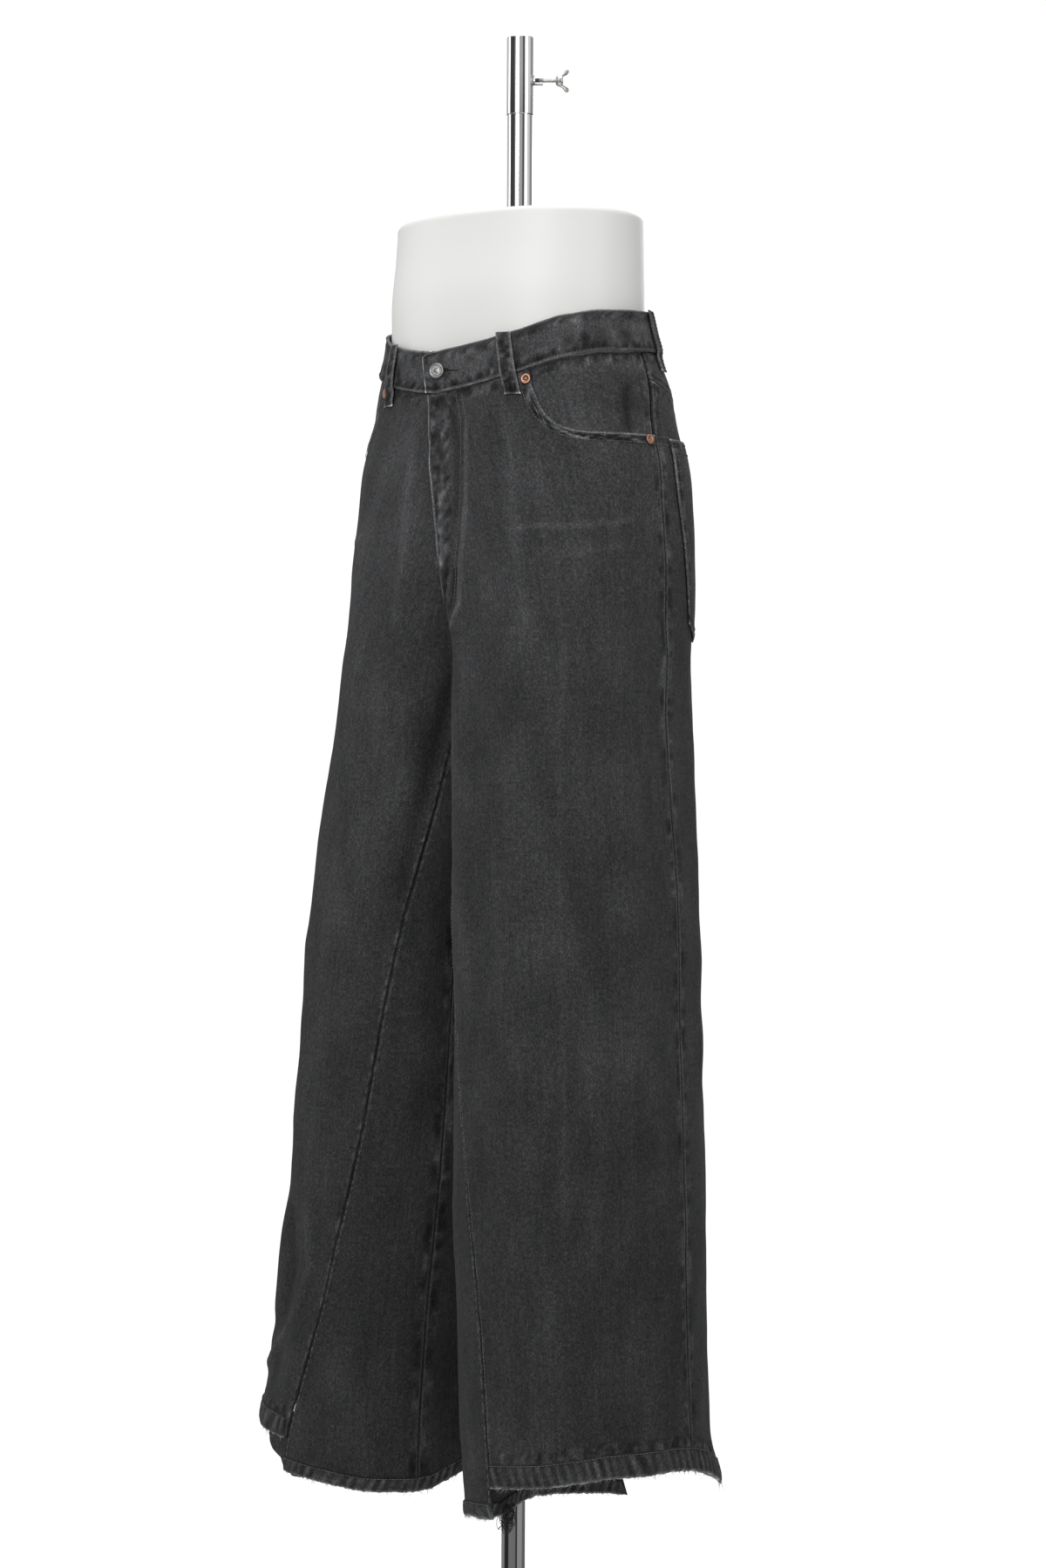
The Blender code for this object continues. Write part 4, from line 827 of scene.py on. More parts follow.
def denim_material(name, colour, contrast=1.0):
    """Washed twill: diagonal ribs, grainy warp, long vertical slubs and cloudy fading."""
    n = Nodes(bpy.data.materials.new(name))
    cloth = n.attribute("cloth", "Vector")
    rib_pitch, rib_lean = 0.00095, 0.62
    rib_scale = (1.0 / rib_pitch, rib_lean / rib_pitch, 0.0)
    rib = n.node("ShaderNodeTexWave", {"Vector": n.scaled(cloth, rib_scale), "Scale": 0.31, "Distortion": 1.6,
                                       "Detail": 2.0, "Detail Scale": 2.0},
                 "Fac", wave_type="BANDS", bands_direction="DIAGONAL")
    grain = n.noise(cloth, (640.0, 380.0, 0.0), 3.0, 0.7)
    coarse = n.noise(cloth, (280.0, 130.0, 0.0), 3.0, 0.6)
    slub = n.noise(cloth, (520.0, 16.0, 0.0), 3.0, 0.6)
    streak = n.noise(cloth, (120.0, 5.0, 0.0), 3.0, 0.6)
    cloudy = n.noise(cloth, (22.0, 12.0, 0.0), 3.0, 0.55)
    pepper = n.noise(cloth, (1500.0, 1100.0, 0.0), 1.0, 0.5)
    pairs = ((grain, 4.2), (coarse, 1.8), (slub, 0.9), (streak, 0.45), (cloudy, 1.5), (pepper, 1.8),
             (rib, 0.45))
    total = n.mixed(*((value, amount * contrast) for value, amount in pairs))
    factor = n.stops(n.math("ADD", total, n.attribute("tone", "Fac")))
    fine = n.bump(n.mixed((rib, 0.8), (grain, 0.9), (slub, 0.6)), 0.00035, 0.7)
    soft = n.noise(cloth, (150.0, 90.0, 0.0), 2.0, 0.5)
    material = n.shader(Base_Color=n.tinted(colour, factor), Normal=n.bump(soft, 0.0012, 0.35, Normal=fine),
                        Roughness=0.93, Specular_IOR_Level=0.12, Sheen_Weight=0.04, Sheen_Roughness=0.45,
                        Sheen_Tint=(0.75, 0.77, 0.80, 1.0))
    material.diffuse_color = (*colour, 1.0)
    return material


def thread_material(name, colour):
    n = Nodes(bpy.data.materials.new(name))
    where = n.position()
    twist = n.noise(where, (1400.0, 1400.0, 900.0), 2.0, 0.6)
    wear = n.noise(where, (60.0, 60.0, 60.0))
    base = n.tinted(colour, n.stops(n.mixed((twist, 1.2), (wear, 2.0))))
    return n.shader(Base_Color=base, Roughness=0.8, Normal=n.bump(twist, 0.0002, 0.6))


def metal_material(name, colour, roughness, mottle, scale, wear=0.0):
    n = Nodes(bpy.data.materials.new(name))
    where = n.position()
    fine = n.noise(where, (scale,) * 3, 3.0, 0.6)
    broad = n.noise(where, (0.12 * scale,) * 3)
    base = n.tinted(colour, n.stops(n.mixed((fine, mottle), (broad, wear))))
    rough = n.math("ADD", roughness, n.centred(broad, 0.6 * roughness))
    return n.shader(Base_Color=base, Metallic=1.0, Roughness=rough, Normal=n.bump(fine, 0.00002, mottle))


def form_material():
    n = Nodes(bpy.data.materials.new("satin_white_form"))
    where = n.position()
    fine = n.noise(where, (900.0, 900.0, 900.0), 3.0, 0.6)
    broad = n.noise(where, (14.0, 14.0, 9.0), 3.0, 0.55)
    base = n.tinted((0.86, 0.86, 0.845), n.math("ADD", 1.0, n.mixed((fine, 0.012), (broad, 0.035))))
    rough = n.math("ADD", 0.46, n.centred(broad, 0.12))
    return n.shader(Base_Color=base, Roughness=rough, Normal=n.bump(fine, 0.00004, 0.25))


# ---------------------------------------------------------------------------- legs
PANEL_COUNTS = {"front": 62, "back": 66, "insert": 34}
# Tone in stops by height: partly real fading, with worn thighs and darker shins, and partly painted light, brighter
# towards the top where the lights fall stronger.
FADE_AND_PAINTED_LIGHT = (("z", "tone"), (0.20, -0.52), (0.40, -0.44), (0.60, -0.14), (0.80, 0.02), (1.00, 0.16),
          (1.06, 0.30), (1.20, 0.34))


def panel_tone(side, phi, z):
    """Broad tone: worn thighs and darker shins, partly real fading and partly painted light that grows brighter
    upwards, uneven lumps, and the marks with their painted fold shade.
    """
    arc, seed = np.radians(phi) * LEG_RADIUS, 21 + SIDES.index(side)
    lumps = 0.10 * cloud(arc / 0.07, z / 0.12, seed) + 0.16 * cloud(arc / 0.013, z / 0.045, seed + 10)
    return marks_at(side, phi, z)[1] + along(FADE_AND_PAINTED_LIGHT, "z", "tone")(z) + lumps


def kept_on_side(side, points):
    points = points.copy()
    points[..., 0] = MIRROR[side] * np.maximum(MIRROR[side] * points[..., 0], GAP / 2)
    return points


def as_seen(side, *grids):
    """Grids of a side, with the right-hand ones turned round to run to the right as seen from outside."""
    return [grid[:, ::-1] if side == "right" else grid for grid in grids]


def leg_piece(name, side, phi, z, edges, seed, tone=0.0, out=0.0, thick=DENIM, clamp=False):
    """A panel from its angles and heights; edges are named as on the left leg."""
    points = surface(side, phi, z, fine=True)
    if clamp:
        points = kept_on_side(side, points)
    if side == "right":
        edges = {OTHER.get(edge, edge): look for edge, look in edges.items()}
    tone = panel_tone(side, phi, z) + tone
    points, tone, *weave = as_seen(side, points, tone, np.radians(phi) * LEG_RADIUS, z)
    return Cloth(name, points, edges, tone, seed, out, thick, weave)


FLY_SHARES = np.array((0.0, 0.06, 0.12, 0.22, 0.36, 0.52, 0.70, 0.86))
FLY_FOOT_Z = 0.950                  # below it these columns lie packed on the insert's seam


def fly_block(z):
    """Columns of the left front that reach past the middle, over the right front."""
    edge = along(FLY_EDGE, "z", "x")(z)
    x = edge[:, None] * (1.0 - FLY_SHARES)
    heights = np.repeat(z[:, None], len(FLY_SHARES), axis=1)
    phi = phi_at_x(heights, -1.0, np.abs(x) + GAP)
    over = surface("left", phi, heights, fine=True)
    over[..., 0] = x
    packed_phi = front_inner_phi("left", heights) - 0.12 * (1.0 - FLY_SHARES)
    packed = surface("left", packed_phi, heights, fine=True)
    return packed + (over - packed) * eased((heights - FLY_FOOT_Z) / 0.012)[..., None]


def raised_fly(points):
    """The left front stands off the right one beside the fly, then comes down to the form."""
    x, z = points[..., 0], points[..., 2]
    lift = 0.0030 * eased((0.034 - x) / 0.024) * eased((z - 0.955) / 0.030) * eased((1.30 - z) / 0.01)
    points = points.copy()
    points[..., 1] -= lift
    return points


def make_left_front(phi, z, seed):
    """The left front with the fly, whose inner edge is the insert's seam below the crotch."""
    block = fly_block(z[:, 0])
    columns = block.shape[1]
    points = kept_on_side("left", surface("left", phi, z, fine=True))
    points = raised_fly(np.concatenate((block, points), axis=1))
    tone = panel_tone("left", phi, z)
    tone = np.concatenate((np.repeat(tone[:, :1], columns, axis=1), tone), axis=1)
    arc = np.radians(phi) * LEG_RADIUS
    shift = block[..., 0] - points[:, columns:columns + 1, 0]
    weave = (np.concatenate((arc[:, :1] + shift, arc), axis=1), points[..., 2])
    edges = {"right": "side", "bottom": "hem"}
    piece = Cloth("front_left_cloth", points, edges, tone, seed, weave=weave)
    above = eased((piece.points[..., 2] - 0.955) / 0.010)
    piece.lay("fly", "left", 301, above)
    piece.lay("insert", "left", 302, 1.0 - above)
    return piece


def make_front(side, seed):
    ends = (lambda z: front_inner_phi(side, z), side_phi)
    phi, z = leg_grid(side, ends, along(HEM[side], "phi", "z"), front_top, PANEL_COUNTS["front"])
    if side == "left":
        piece = make_left_front(phi, z, seed)
    else:
        edges = {"left": "insert", "right": "side", "bottom": "hem"}
        piece = leg_piece("front_right_cloth", side, phi, z, edges, seed, clamp=True)
    add_top_edge(piece)
    return piece


def add_top_edge(piece):
    """A front's top edge: the pocket's mouth towards the side, the waist seam elsewhere."""
    edge = piece.points[-1]
    phi = np.degrees(np.arctan2(edge[:, 1] - 0.005, np.abs(edge[:, 0])))
    near = pocket_distance(piece, edge[phi > -41.5])
    piece.lay("pocket", "top", 303, near < 0.03, near)
    piece.lay("waist", "top", 304, 1.0 - eased((phi + 43.0) / 1.5))


def pocket_distance(piece, edge):
    """Distance of each point from the pocket's mouth, where it is close to it, or 1."""
    distance = np.full(piece.points.shape[:2], 1.0)
    close = piece.points[..., 2] > 1.085
    spots = piece.points[close]
    for start, end in zip(edge[:-1], edge[1:]):
        run = end - start
        share = np.clip(((spots - start) @ run) / max(run @ run, 1e-12), 0.0, 1.0)
        away = np.linalg.norm(spots - start - share[:, None] * run, axis=1)
        distance[close] = np.minimum(distance[close], away)
    return distance


def make_back(side, seed):
    phi, z = leg_grid(side, (side_phi, back_inner_phi), along(HEM[side], "phi", "z"),
                      lambda p: yoke_seam(p) - GAP / 2, PANEL_COUNTS["back"])
    edges = {"left": "side", "right": "inseam", "bottom": "hem", "top": "yoke"}
    return leg_piece(f"back_{side}_cloth", side, phi, z, edges, seed, clamp=True)


def make_insert(side, which, seed):
    """Half of an insert, from the middle seam to the front or from the back to the middle seam."""
    mid, back = level(MID_SEAM_PHI), along(INSERT_BACK, "z", "phi")
    if which == "front":
        ends, looks = (mid, lambda z: 360.0 + along(INSERT_FRONT, "z", side)(z)), ("mid", "insert")
    else:
        ends, looks = (back, mid), ("insert", "mid")
    phi, z = leg_grid(side, ends, along(INSERT_HEM[side], "phi", "z"), None, PANEL_COUNTS["insert"],
                      level_top=APEX_Z - 0.004)
    return leg_piece(f"insert_{which}_{side}_cloth", side, phi, z, dict(zip(SIDES, looks)), seed, -0.08)


ALLOWANCE = (("z", "phi"), (0.176, -86.0), (0.180, -84.5), (0.1855, -79.0), (0.191, -78.0),
             (0.197, -70.0), (0.203, -66.5), (0.236, -64.5))
ALLOWANCE_PHI = -92.0               # where it starts, under the front


def make_allowance(seed):
    """Raw edge of the right insert, seen under the front's shorter hem."""
    z = np.linspace(0.176, 0.236, 40)[:, None]
    end = along(ALLOWANCE, "z", "phi")(z) + 0.8 * cloud(z / 0.0016, 0.5, seed)
    phi = ALLOWANCE_PHI + (end - ALLOWANCE_PHI) * spread(0.030, 14)
    edges = {"right": "plain", "bottom": "plain"}
    return leg_piece("insert_allowance", "right", phi, z + 0.0 * phi, edges, seed, 0.10, -0.0020, 0.0010)


def make_yoke(side, seed):
    ends = (side_phi, lambda z: phi_at_plane(z, 1))
    phi, z = grid_of(rows_between(side, ends, lambda p: yoke_seam(p) + GAP / 2,
                                  lambda p: waist_seam(p) - GAP / 2, edged(0.05, 6, 0.15, 12), 36))
    edges = {"left": "side", "right": "seat", "bottom": "yoke", "top": "waist"}
    return leg_piece(f"yoke_{side}_cloth", side, phi, z, edges, seed, clamp=True)


FACING_PHI, FACING_Z = -46.0, 1.104  # its edge towards the middle and its lower one


def make_facing(side, seed):
    """Denim inside a front pocket, with one deep fold and softly rolled; the fold is darkened with painted shade, and
    the rolls are lighter on their crests and darker between them, as painted light and shade.
    """
    phi, z = grid_of(rows_between(side, (level(FACING_PHI), side_phi), level(FACING_Z),
                                  lambda p: waist_seam(p) - 0.0004, np.linspace(0.0, 1.0, 26), 30))
    edges = {"right": "side", "top": "waist"}
    piece = leg_piece(f"pocket_facing_{side}_cloth", side, phi, z, edges, seed, 0.22, -0.0022, 0.0010)
    fold = bell((phi + 7.0 - 26.0 * (z - 1.155)) / 2.2)
    fold = fold * eased((z - 1.125) / 0.01) * eased((1.185 - z) / 0.02)
    rolls = cloud(z / 0.010 + phi / 40.0, phi / 30.0, 61)
    # The fold's tone is painted shade; the rolls' tone is painted light on their crests and painted shade between
    # them.
    change, shade = as_seen(side, 0.0020 * fold - 0.0003 * rolls, 0.30 * rolls - 1.1 * fold)
    piece.points = piece.points - change[..., None] * piece.normal
    piece.tone = piece.tone + shade
    return piece


def make_back_pocket(side, seed):
    outer_edge, inner_edge = (along(BACK_POCKET, "z", edge) for edge in ("outer", "inner"))
    low, corner, top = 0.961, 1.030, 1.126
    even = np.linspace(0.974, 1.114, 42)
    levels = np.concatenate((low + EDGE_STEPS, even, top - EDGE_STEPS[::-1]))[:, None]
    shares = spread(0.105, 34)
    dip = BACK_POCKET_POINT * (1.0 - np.abs(2.0 * shares - 1.0)) * (corner - levels) / (corner - low)
    phi = outer_edge(levels) + (inner_edge(levels) - outer_edge(levels)) * shares
    edges = {edge: "folded" for edge in ("left", "right", "bottom", "top")}
    z = levels - np.maximum(dip, 0.0)
    return leg_piece(f"back_pocket_{side}_cloth", side, phi, z, edges, seed, 0.05, 0.0026, 0.0017)


# ---------------------------------------------------------------------------- hems
HEM_DEEP, INSERT_HEM_DEEP = 0.021, 0.0135
HEM_RADIUS = 0.113                  # mean radius at the hems
HEM_COLUMN = 0.0012                 # between a hem's columns
RAGGED = 0.0012                     # how far its edge is worn away


def make_hem(name, side, start, end, hem, deep, seed):
    """Folded and frayed band at the bottom of a piece, roped by washing."""
    phi = np.linspace(start, end, int(math.radians(abs(end - start)) * HEM_RADIUS / HEM_COLUMN))[None, :]
    run = np.radians(phi) * HEM_RADIUS
    share = np.concatenate(([0.0, 0.012, 0.03], np.linspace(0.07, 0.93, 12), [0.97, 1.0]))[:, None]
    edge = -0.0006 + RAGGED * 0.5 * (cloud(run / 0.0031, 0.3, seed) + cloud(run / 0.0009, 0.7, seed + 1))
    z = hem(phi) + edge * (1.0 - share) ** 3 + deep * share
    phi, run = phi + 0.0 * share, run + 0.0 * share
    slanted = run / 0.0095 + 0.7 * share + 0.85 * cloud(run / 0.025, 0.2, seed + 2)
    ropes = np.sin(2.0 * math.pi * slanted) * (0.55 + 0.45 * cloud(run / 0.011, share * 1.5, seed + 3))
    ropes = ropes * eased(share / 0.20) * eased((0.97 - share) / 0.15)
    change = 0.0007 * np.sin(math.pi * share) + 0.00055 * ropes
    frayed, stitched = bell(share * deep / 0.0016), bell((share - 0.93) * deep / 0.0010)
    tone = panel_tone(side, phi, z) * 0.5 + 0.05 + 1.15 * ropes - 1.3 * stitched
    tone = tone + frayed * (2.4 + 1.0 * cloud(run / 0.004, 0.1, seed + 4))
    points, tone, change = as_seen(side, surface(side, phi, z, fine=True), tone, change)
    piece = Cloth(name, points, {"bottom": "plain", "top": "plain"}, tone, seed, 0.0009, 0.0034)
    piece.points = piece.points + change[..., None] * piece.normal
    return piece


def hems_of(side):
    """Hems of a leg's front, back and insert halves."""
    hem, insert_hem = along(HEM[side], "phi", "z"), along(INSERT_HEM[side], "phi", "z")
    front, back = float(along(INSERT_FRONT, "z", side)(0.2)), float(along(INSERT_BACK, "z", "phi")(0.18))
    seam, mid, seed = float(side_phi(0.21)), MID_SEAM_PHI, 401 + 10 * SIDES.index(side)
    rows = (("front", front, seam, hem, HEM_DEEP), ("back", seam, back, hem, HEM_DEEP),
            ("insert_front", mid, 360.0 + front, insert_hem, INSERT_HEM_DEEP),
            ("insert_back", back, mid, insert_hem, INSERT_HEM_DEEP))
    return [make_hem(f"hem_{name}_{side}", side, *row, seed + 20 * k) for k, (name, *row) in enumerate(rows)]


def make_frays(name, hems, material, seed):
    """Loose fibres along the hems' bottom edges."""
    rng = np.random.default_rng(seed)
    per_metre, steps = 420, np.linspace(0.0, 1.0, 4)[:, None]
    lines, ups = [], []
    for hem in hems:
        edge, normal = hem.points[0], hem.normal[0]
        length = np.linalg.norm(np.diff(edge, axis=0), axis=1).sum()
        for _ in range(int(length * per_metre)):
            k = int(rng.uniform(1, len(edge) - 2))
            beside = unit(edge[k + 1] - edge[k])
            reach = rng.uniform(0.0015, 0.0045) * (2.2 if rng.uniform() > 0.95 else 1.0)
            drift, out = rng.normal(0.0, 0.6), rng.normal(0.1, 0.3)
            bend = rng.normal(0.0, 0.5)
            way = np.array((0.0, 0.0, -1.0)) + drift * beside + out * normal[k]
            root = edge[k] - normal[k] * rng.uniform(0.0005, 0.0028) + (0.0, 0.0, 0.0012)
            lines.append(root + reach * (steps * way + bend * steps**2 * beside))
            ups.append(np.repeat(normal[k][None, :], 4, axis=0))
    radii = np.tile(np.array((0.00022, 0.00019, 0.00014, 0.00007)), (len(lines), 1))
    tubes_object(name, np.array(lines), np.array(ups), radii, 3, material)


def make_tangle(name, centre, size, count, material, seed):
    """A snarl of loose thread hanging from an insert's hem."""
    rng = np.random.default_rng(seed)
    steps = np.linspace(0.0, 1.0, 46)[:, None]
    lines = []
    for _ in range(count):
        phase, turns = rng.uniform(0, 2 * math.pi, 3), rng.uniform(1.2, 3.2, 3)
        wide = size * rng.uniform(0.35, 1.0, 3)
        curl = wide * np.sin(2 * math.pi * turns * steps + phase)
        curl = curl * (0.25 + 0.75 * np.sin(math.pi * steps) ** 0.5)
        lines.append(centre + curl - (0.0, 0.0, 1.0) * (size[2] * rng.uniform(0.2, 1.0) * steps))
    lines = np.array(lines)
    ups = np.tile(np.array((0.35, -0.9, 0.25)), (len(lines), len(steps), 1))
    tubes_object(name, lines, ups, np.full(lines.shape[:2], 0.00030), 4, material)


# ---------------------------------------------------------------------------- waistband
def body_point(angle, z):
    """The garment's form all round: angle in degrees from the front, growing to the wearer's left."""
    left = np.sin(np.radians(angle)) >= 0.0
    phi = np.where(left, angle - 90.0, (-angle) % 360.0 - 90.0)
    mirror = np.where(left, 1.0, -1.0)
    return surface("left", phi, z) * np.stack((mirror, 1.0 + 0 * z, 1.0 + 0 * z), axis=-1)


def band_top(angle):
    return along(WAIST_TOP, "phi", "z")(np.abs(wrapped(angle)) - 90.0)


def flap_lift(x):
    return FLAP_LIFT * (1.0 - eased((x - FLAP_FLAT_X) / FLAP_EASE))


BAND_START, BAND_END = -7.6, 357.0
BAND_CUT = 7.0                      # how far the flap's top corner is cut back, in degrees
BAND_SLANT = 3.2                    # how far its end leans, in degrees from bottom to top
BAND_RADIUS = 0.122                 # mean radius, to measure along the band


def make_waistband():
    edge = EDGE_STEPS[1:5] / 0.10 * 57.3
    even = np.linspace(BAND_START + 2.2, BAND_END - 2.2, 330)
    angle = np.concatenate(([BAND_START], BAND_START + edge, even, BAND_END - edge[::-1], [BAND_END]))
    share = edged(BAND_HEIGHT, 6, 0.16, 14)[:, None] + 0.0 * angle
    cut = BAND_CUT * eased((share - 0.85) / 0.15) ** 0.7 - BAND_SLANT * share
    angle = angle + cut * np.clip(1.0 - (angle - BAND_START) / 14.0, 0.0, 1.0)
    points = body_point(angle, band_top(angle) - BAND_HEIGHT * (1.0 - share))
    lift = np.where(angle < 90.0, flap_lift(points[..., 0]), 0.0)
    run = np.radians(angle) * BAND_RADIUS
    rolls = 0.00045 * cloud(run / 0.020, share * 2.0, 71) + 0.00025 * cloud(run / 0.007, share * 4.0, 72)
    points = points + (lift + BAND_PROUD + rolls)[..., None] * grid_normals(points)
    blots = cloud(run / 0.0062, 0.5 + 0.0 * share, 73) * bell((share - 0.36) / 0.13)
    from_end = np.radians(angle - angle[:, :1]) * BAND_RADIUS
    beside = angle - (359.1 + BAND_START - BAND_SLANT * share)
    # The 0.66 stops that lift the whole band are painted light, as it sits high where the lights fall stronger.
    tone = 0.66 + 0.25 * cloud(run / 0.05, share * 1.5, 74) + 2.6 * np.minimum(blots, 0.10)
    tone = tone + 0.50 * cloud(run / 0.009, share * 5.0, 75) - 0.8 * bell(share * BAND_HEIGHT / 0.0035 - 1.0)
    # Painted highlight: a pale line just inside the lifted flap's end (from_end). Painted shadow: a dark line on the
    # underlap where the flap's end lies over it (beside).
    tone = tone + 1.8 * bell((from_end - 0.0010) / 0.0012) - 1.4 * bell(beside / 0.7)
    edges = {"bottom": "folded", "top": "band", "left": "folded", "right": "plain"}
    return Cloth("waistband_cloth", points, edges, tone, 7, thick=BAND_THICK)


def band_face(angle, z):
    """Point and normal on the waistband's face."""
    step = np.array((-0.1, 0.0, 0.1))
    ring = body_point(angle + step, z + 0.0 * step)
    up = body_point(np.array((float(angle),)), np.array((z + 0.0005,)))[0] - ring[1]
    normal = unit(np.cross(ring[2] - ring[0], up))
    lift = flap_lift(ring[1][0]) if -20.0 < angle < 90.0 else 0.0
    return ring[1] + (BAND_PROUD + lift) * normal, normal


# Belt loops: name, angle, and how far the foot is to the wearer's left of the top, both in degrees.
LOOPS = (("loop_front_left", 38.0, 3.2), ("loop_side_left", 107.0, 0.0), ("loop_back", 180.0, 0.5),
         ("loop_side_right", 253.0, 0.0), ("loop_front_right", 324.0, -1.0))
LOOP_WIDTH, LOOP_LENGTH, LOOP_THICK, LOOP_ARCH = 0.0135, 0.057, 0.0018, 0.0018
LOOP_COLUMNS = np.array((0.35, 0.60, 0.76, 0.88, 0.95, 1.0))


def make_loop(name, angle, lean, seed):
    top = float(band_top(angle))
    radius = float(np.linalg.norm(body_point(np.array([angle]), np.array([top]))[0, :2]))
    half = math.degrees(0.5 * LOOP_WIDTH / radius)
    across = np.concatenate((-LOOP_COLUMNS[::-1], [0.0], LOOP_COLUMNS))
    share = edged(LOOP_LENGTH, 5, 0.08, 34)[:, None] + 0.0 * across
    sway = 0.05 * half * np.sin(5.0 * share + seed)
    angles = angle + half * across + sway + lean * (1.0 - share)
    points = body_point(angles, top + 0.0012 - LOOP_LENGTH * (1.0 - share))
    lift = 0.0004 + LOOP_THICK + BAND_PROUD * eased((share - 0.22) / 0.14)
    lift = lift + LOOP_ARCH * np.sin(math.pi * np.clip(share, 0.0, 1.0)) ** 0.6
    if 0.0 < wrapped(angle) < 90.0:
        lift = lift + flap_lift(points[..., 0]) * eased((share - 0.25) / 0.10)
    lift = lift + 0.0004 * (1.0 - across**2) * np.cos(14.0 * share + seed)
    points = points + lift[..., None] * grid_normals(points)
    tone = 0.45 + 0.30 * cloud(share * 14.0, across * 1.5, 80 + seed)
    tone = tone + 0.6 * bell((1.0 - share) / 0.05) + 1.1 * bell(share / 0.03) - 0.85 * bell(across / 0.50)
    edges = {"left": "folded", "right": "folded", "top": "plain", "bottom": "folded"}
    return Cloth(name + "_cloth", points, edges, tone, 80 + seed, thick=LOOP_THICK)


# ---------------------------------------------------------------------------- metal trim
def lathe(name, profile, material, at=Matrix.Identity(4), segments=96, slot="chrome", replaced=(), body=BODY):
    """Turned piece from (radius, height) pairs run from its top, on the local Z of matrix at."""
    angles = [2 * math.pi * k / segments for k in range(segments)]
    turns = [(math.cos(a), math.sin(a)) for a in angles]
    rows, verts, faces = [], [], []
    for radius, height in profile:
        around = turns if radius > 1e-7 else [(0.0, 0.0)]
        rows.append(list(range(len(verts), len(verts) + len(around))))
        verts += [(radius * c, radius * s, height) for c, s in around]
    for upper, lower in zip(rows[:-1], rows[1:]):
        for k in range(segments):
            i = (k + 1) % segments
            if len(upper) == 1:
                faces.append((upper[0], lower[k], lower[i]))
            elif len(lower) == 1:
                faces.append((upper[k], lower[0], upper[i]))
            else:
                faces.append((upper[k], lower[k], lower[i], upper[i]))
    mesh = bpy.data.meshes.new(name)
    mesh.from_pydata(verts, [], faces)
    mesh.transform(at)
    smoothed(mesh, 35)
    return owned(new_object(name, mesh, [material]), slot, replaced, body)


def arc_profile(x, z, radius, start, end, steps=6):
    """Points of a rounded edge in a turned profile, angles in degrees from the outward direction."""
    angles = [math.radians(start + (end - start) * k / steps) for k in range(steps + 1)]
    return [(x + radius * math.cos(a), z + radius * math.sin(a)) for a in angles]


def facing(point, normal):
    turn = Vector(normal).to_track_quat("Z", "Y").to_matrix().to_4x4()
    return Matrix.Translation(Vector(point) + Vector(GARMENT_AT)) @ turn


BUTTON_ANGLE, BUTTON_Z = 2.6, 1.1875
BUTTON_TILT = 0.38                  # the button leans on its shank towards the wearer's left
BUTTON_PROFILE = [(0.0, 0.0040), (0.0010, 0.0040), (0.0014, 0.0034), (0.0022, 0.0033), (0.0027, 0.0037),
                  (0.0046, 0.0037), (0.0050, 0.0031), (0.0054, 0.0031), (0.0057, 0.0042),
                  *arc_profile(0.0060, 0.0035, 0.0009, 80, -80),
                  (0.0034, 0.0022), (0.0030, 0.0018), (0.0030, 0.0), (0.0, 0.0)]
DOTS, DOTS_AT, DOT_HEIGHT, DOT_RADIUS = 16, 0.60 * 0.0069, 0.0036, 0.00052
RIVET_PROFILE = [(0.0, 0.0013), (0.0006, 0.0012), (0.0010, 0.0008), (0.0015, 0.0007), (0.0020, 0.0010),
                 (0.0030, 0.0015), (0.0037, 0.0015), *arc_profile(0.0041, 0.0008, 0.0007, 75, -75),
                 (0.0040, 0.0), (0.0, 0.0)]
RIVETS = (("rivet_left_inner", "left", -43.0, 1.176), ("rivet_left_outer", "left", 0.0, 1.1235),
          ("rivet_right_inner", "right", -47.0, 1.175), ("rivet_right_outer", "right", 0.0, 1.1235))


def make_button(material):
    """Shank button with a rolled rim and a ring of plain dots."""
    point, normal = band_face(BUTTON_ANGLE, BUTTON_Z)
    at = facing(point + (GAP + 0.0008) * normal, unit(normal + BUTTON_TILT * np.array((1.0, 0.0, 0.10))))
    button = lathe("button_skin", BUTTON_PROFILE, material, at, 56, "button_metal", ("button",))
    shape = bmesh.new()
    shape.from_mesh(button.data)
    for k in range(DOTS):
        angle = 2 * math.pi * k / DOTS
        spot = Matrix.Translation((DOTS_AT * math.cos(angle), DOTS_AT * math.sin(angle), DOT_HEIGHT))
        bmesh.ops.create_icosphere(shape, subdivisions=1, radius=DOT_RADIUS, matrix=at @ spot)
    shape.to_mesh(button.data)
    shape.free()


def make_rivet(name, side, phi, z, material):
    """Copper rivet: a domed ring round a small raised centre."""
    spots = surface(side, phi + np.array((0.0, 0.05, 0.0)), z + np.array((0.0, 0.0, 0.0002)))
    normal = MIRROR[side] * unit(np.cross(spots[1] - spots[0], spots[2] - spots[0]))
    at = facing(spots[0] + 0.0008 * normal, normal)
    lathe(name + "_copper", RIVET_PROFILE, material, at, 36, "copper", (name,))


SLIT_FROM, SLIT_TO, SLIT_Z = 5.6, 14.8, 1.1880


def make_buttonhole(dark, thread):
    """Keyhole beside the button: a sewn border round a slit, which is a thin dark sheet of painted shade."""
    steps = np.linspace(0.0, 1.0, 40)
    half = np.interp(steps, (0.0, 0.10, 0.26, 0.40, 1.0), (0.0003, 0.0019, 0.0016, 0.0005, 0.0002))[:, None]
    faces = [band_face(SLIT_FROM + (SLIT_TO - SLIT_FROM) * s, SLIT_Z - 0.0012 * s) for s in steps]
    points, normals = (np.array(values) for values in zip(*faces))
    up = np.array((0.0, 0.0, 1.0))
    grid = np.stack([points + sign * half * up + 0.00055 * normals for sign in (-1.0, -0.4, 0.4, 1.0)])
    # The slit's sheet is darkened 1.6 stops as painted shade in the opening.
    Cloth("buttonhole", grid, {}, np.full(grid.shape[:2], -1.6), 9, thick=0.0004).build([dark])
    rows = [(points + sign * (half + 0.0009) * up + 0.0005 * normals, normals, 0.0013, 0.0002)
            for sign in (-1.0, 1.0)]
    stitching("buttonhole_thread", rows, thread, radius=0.00036)


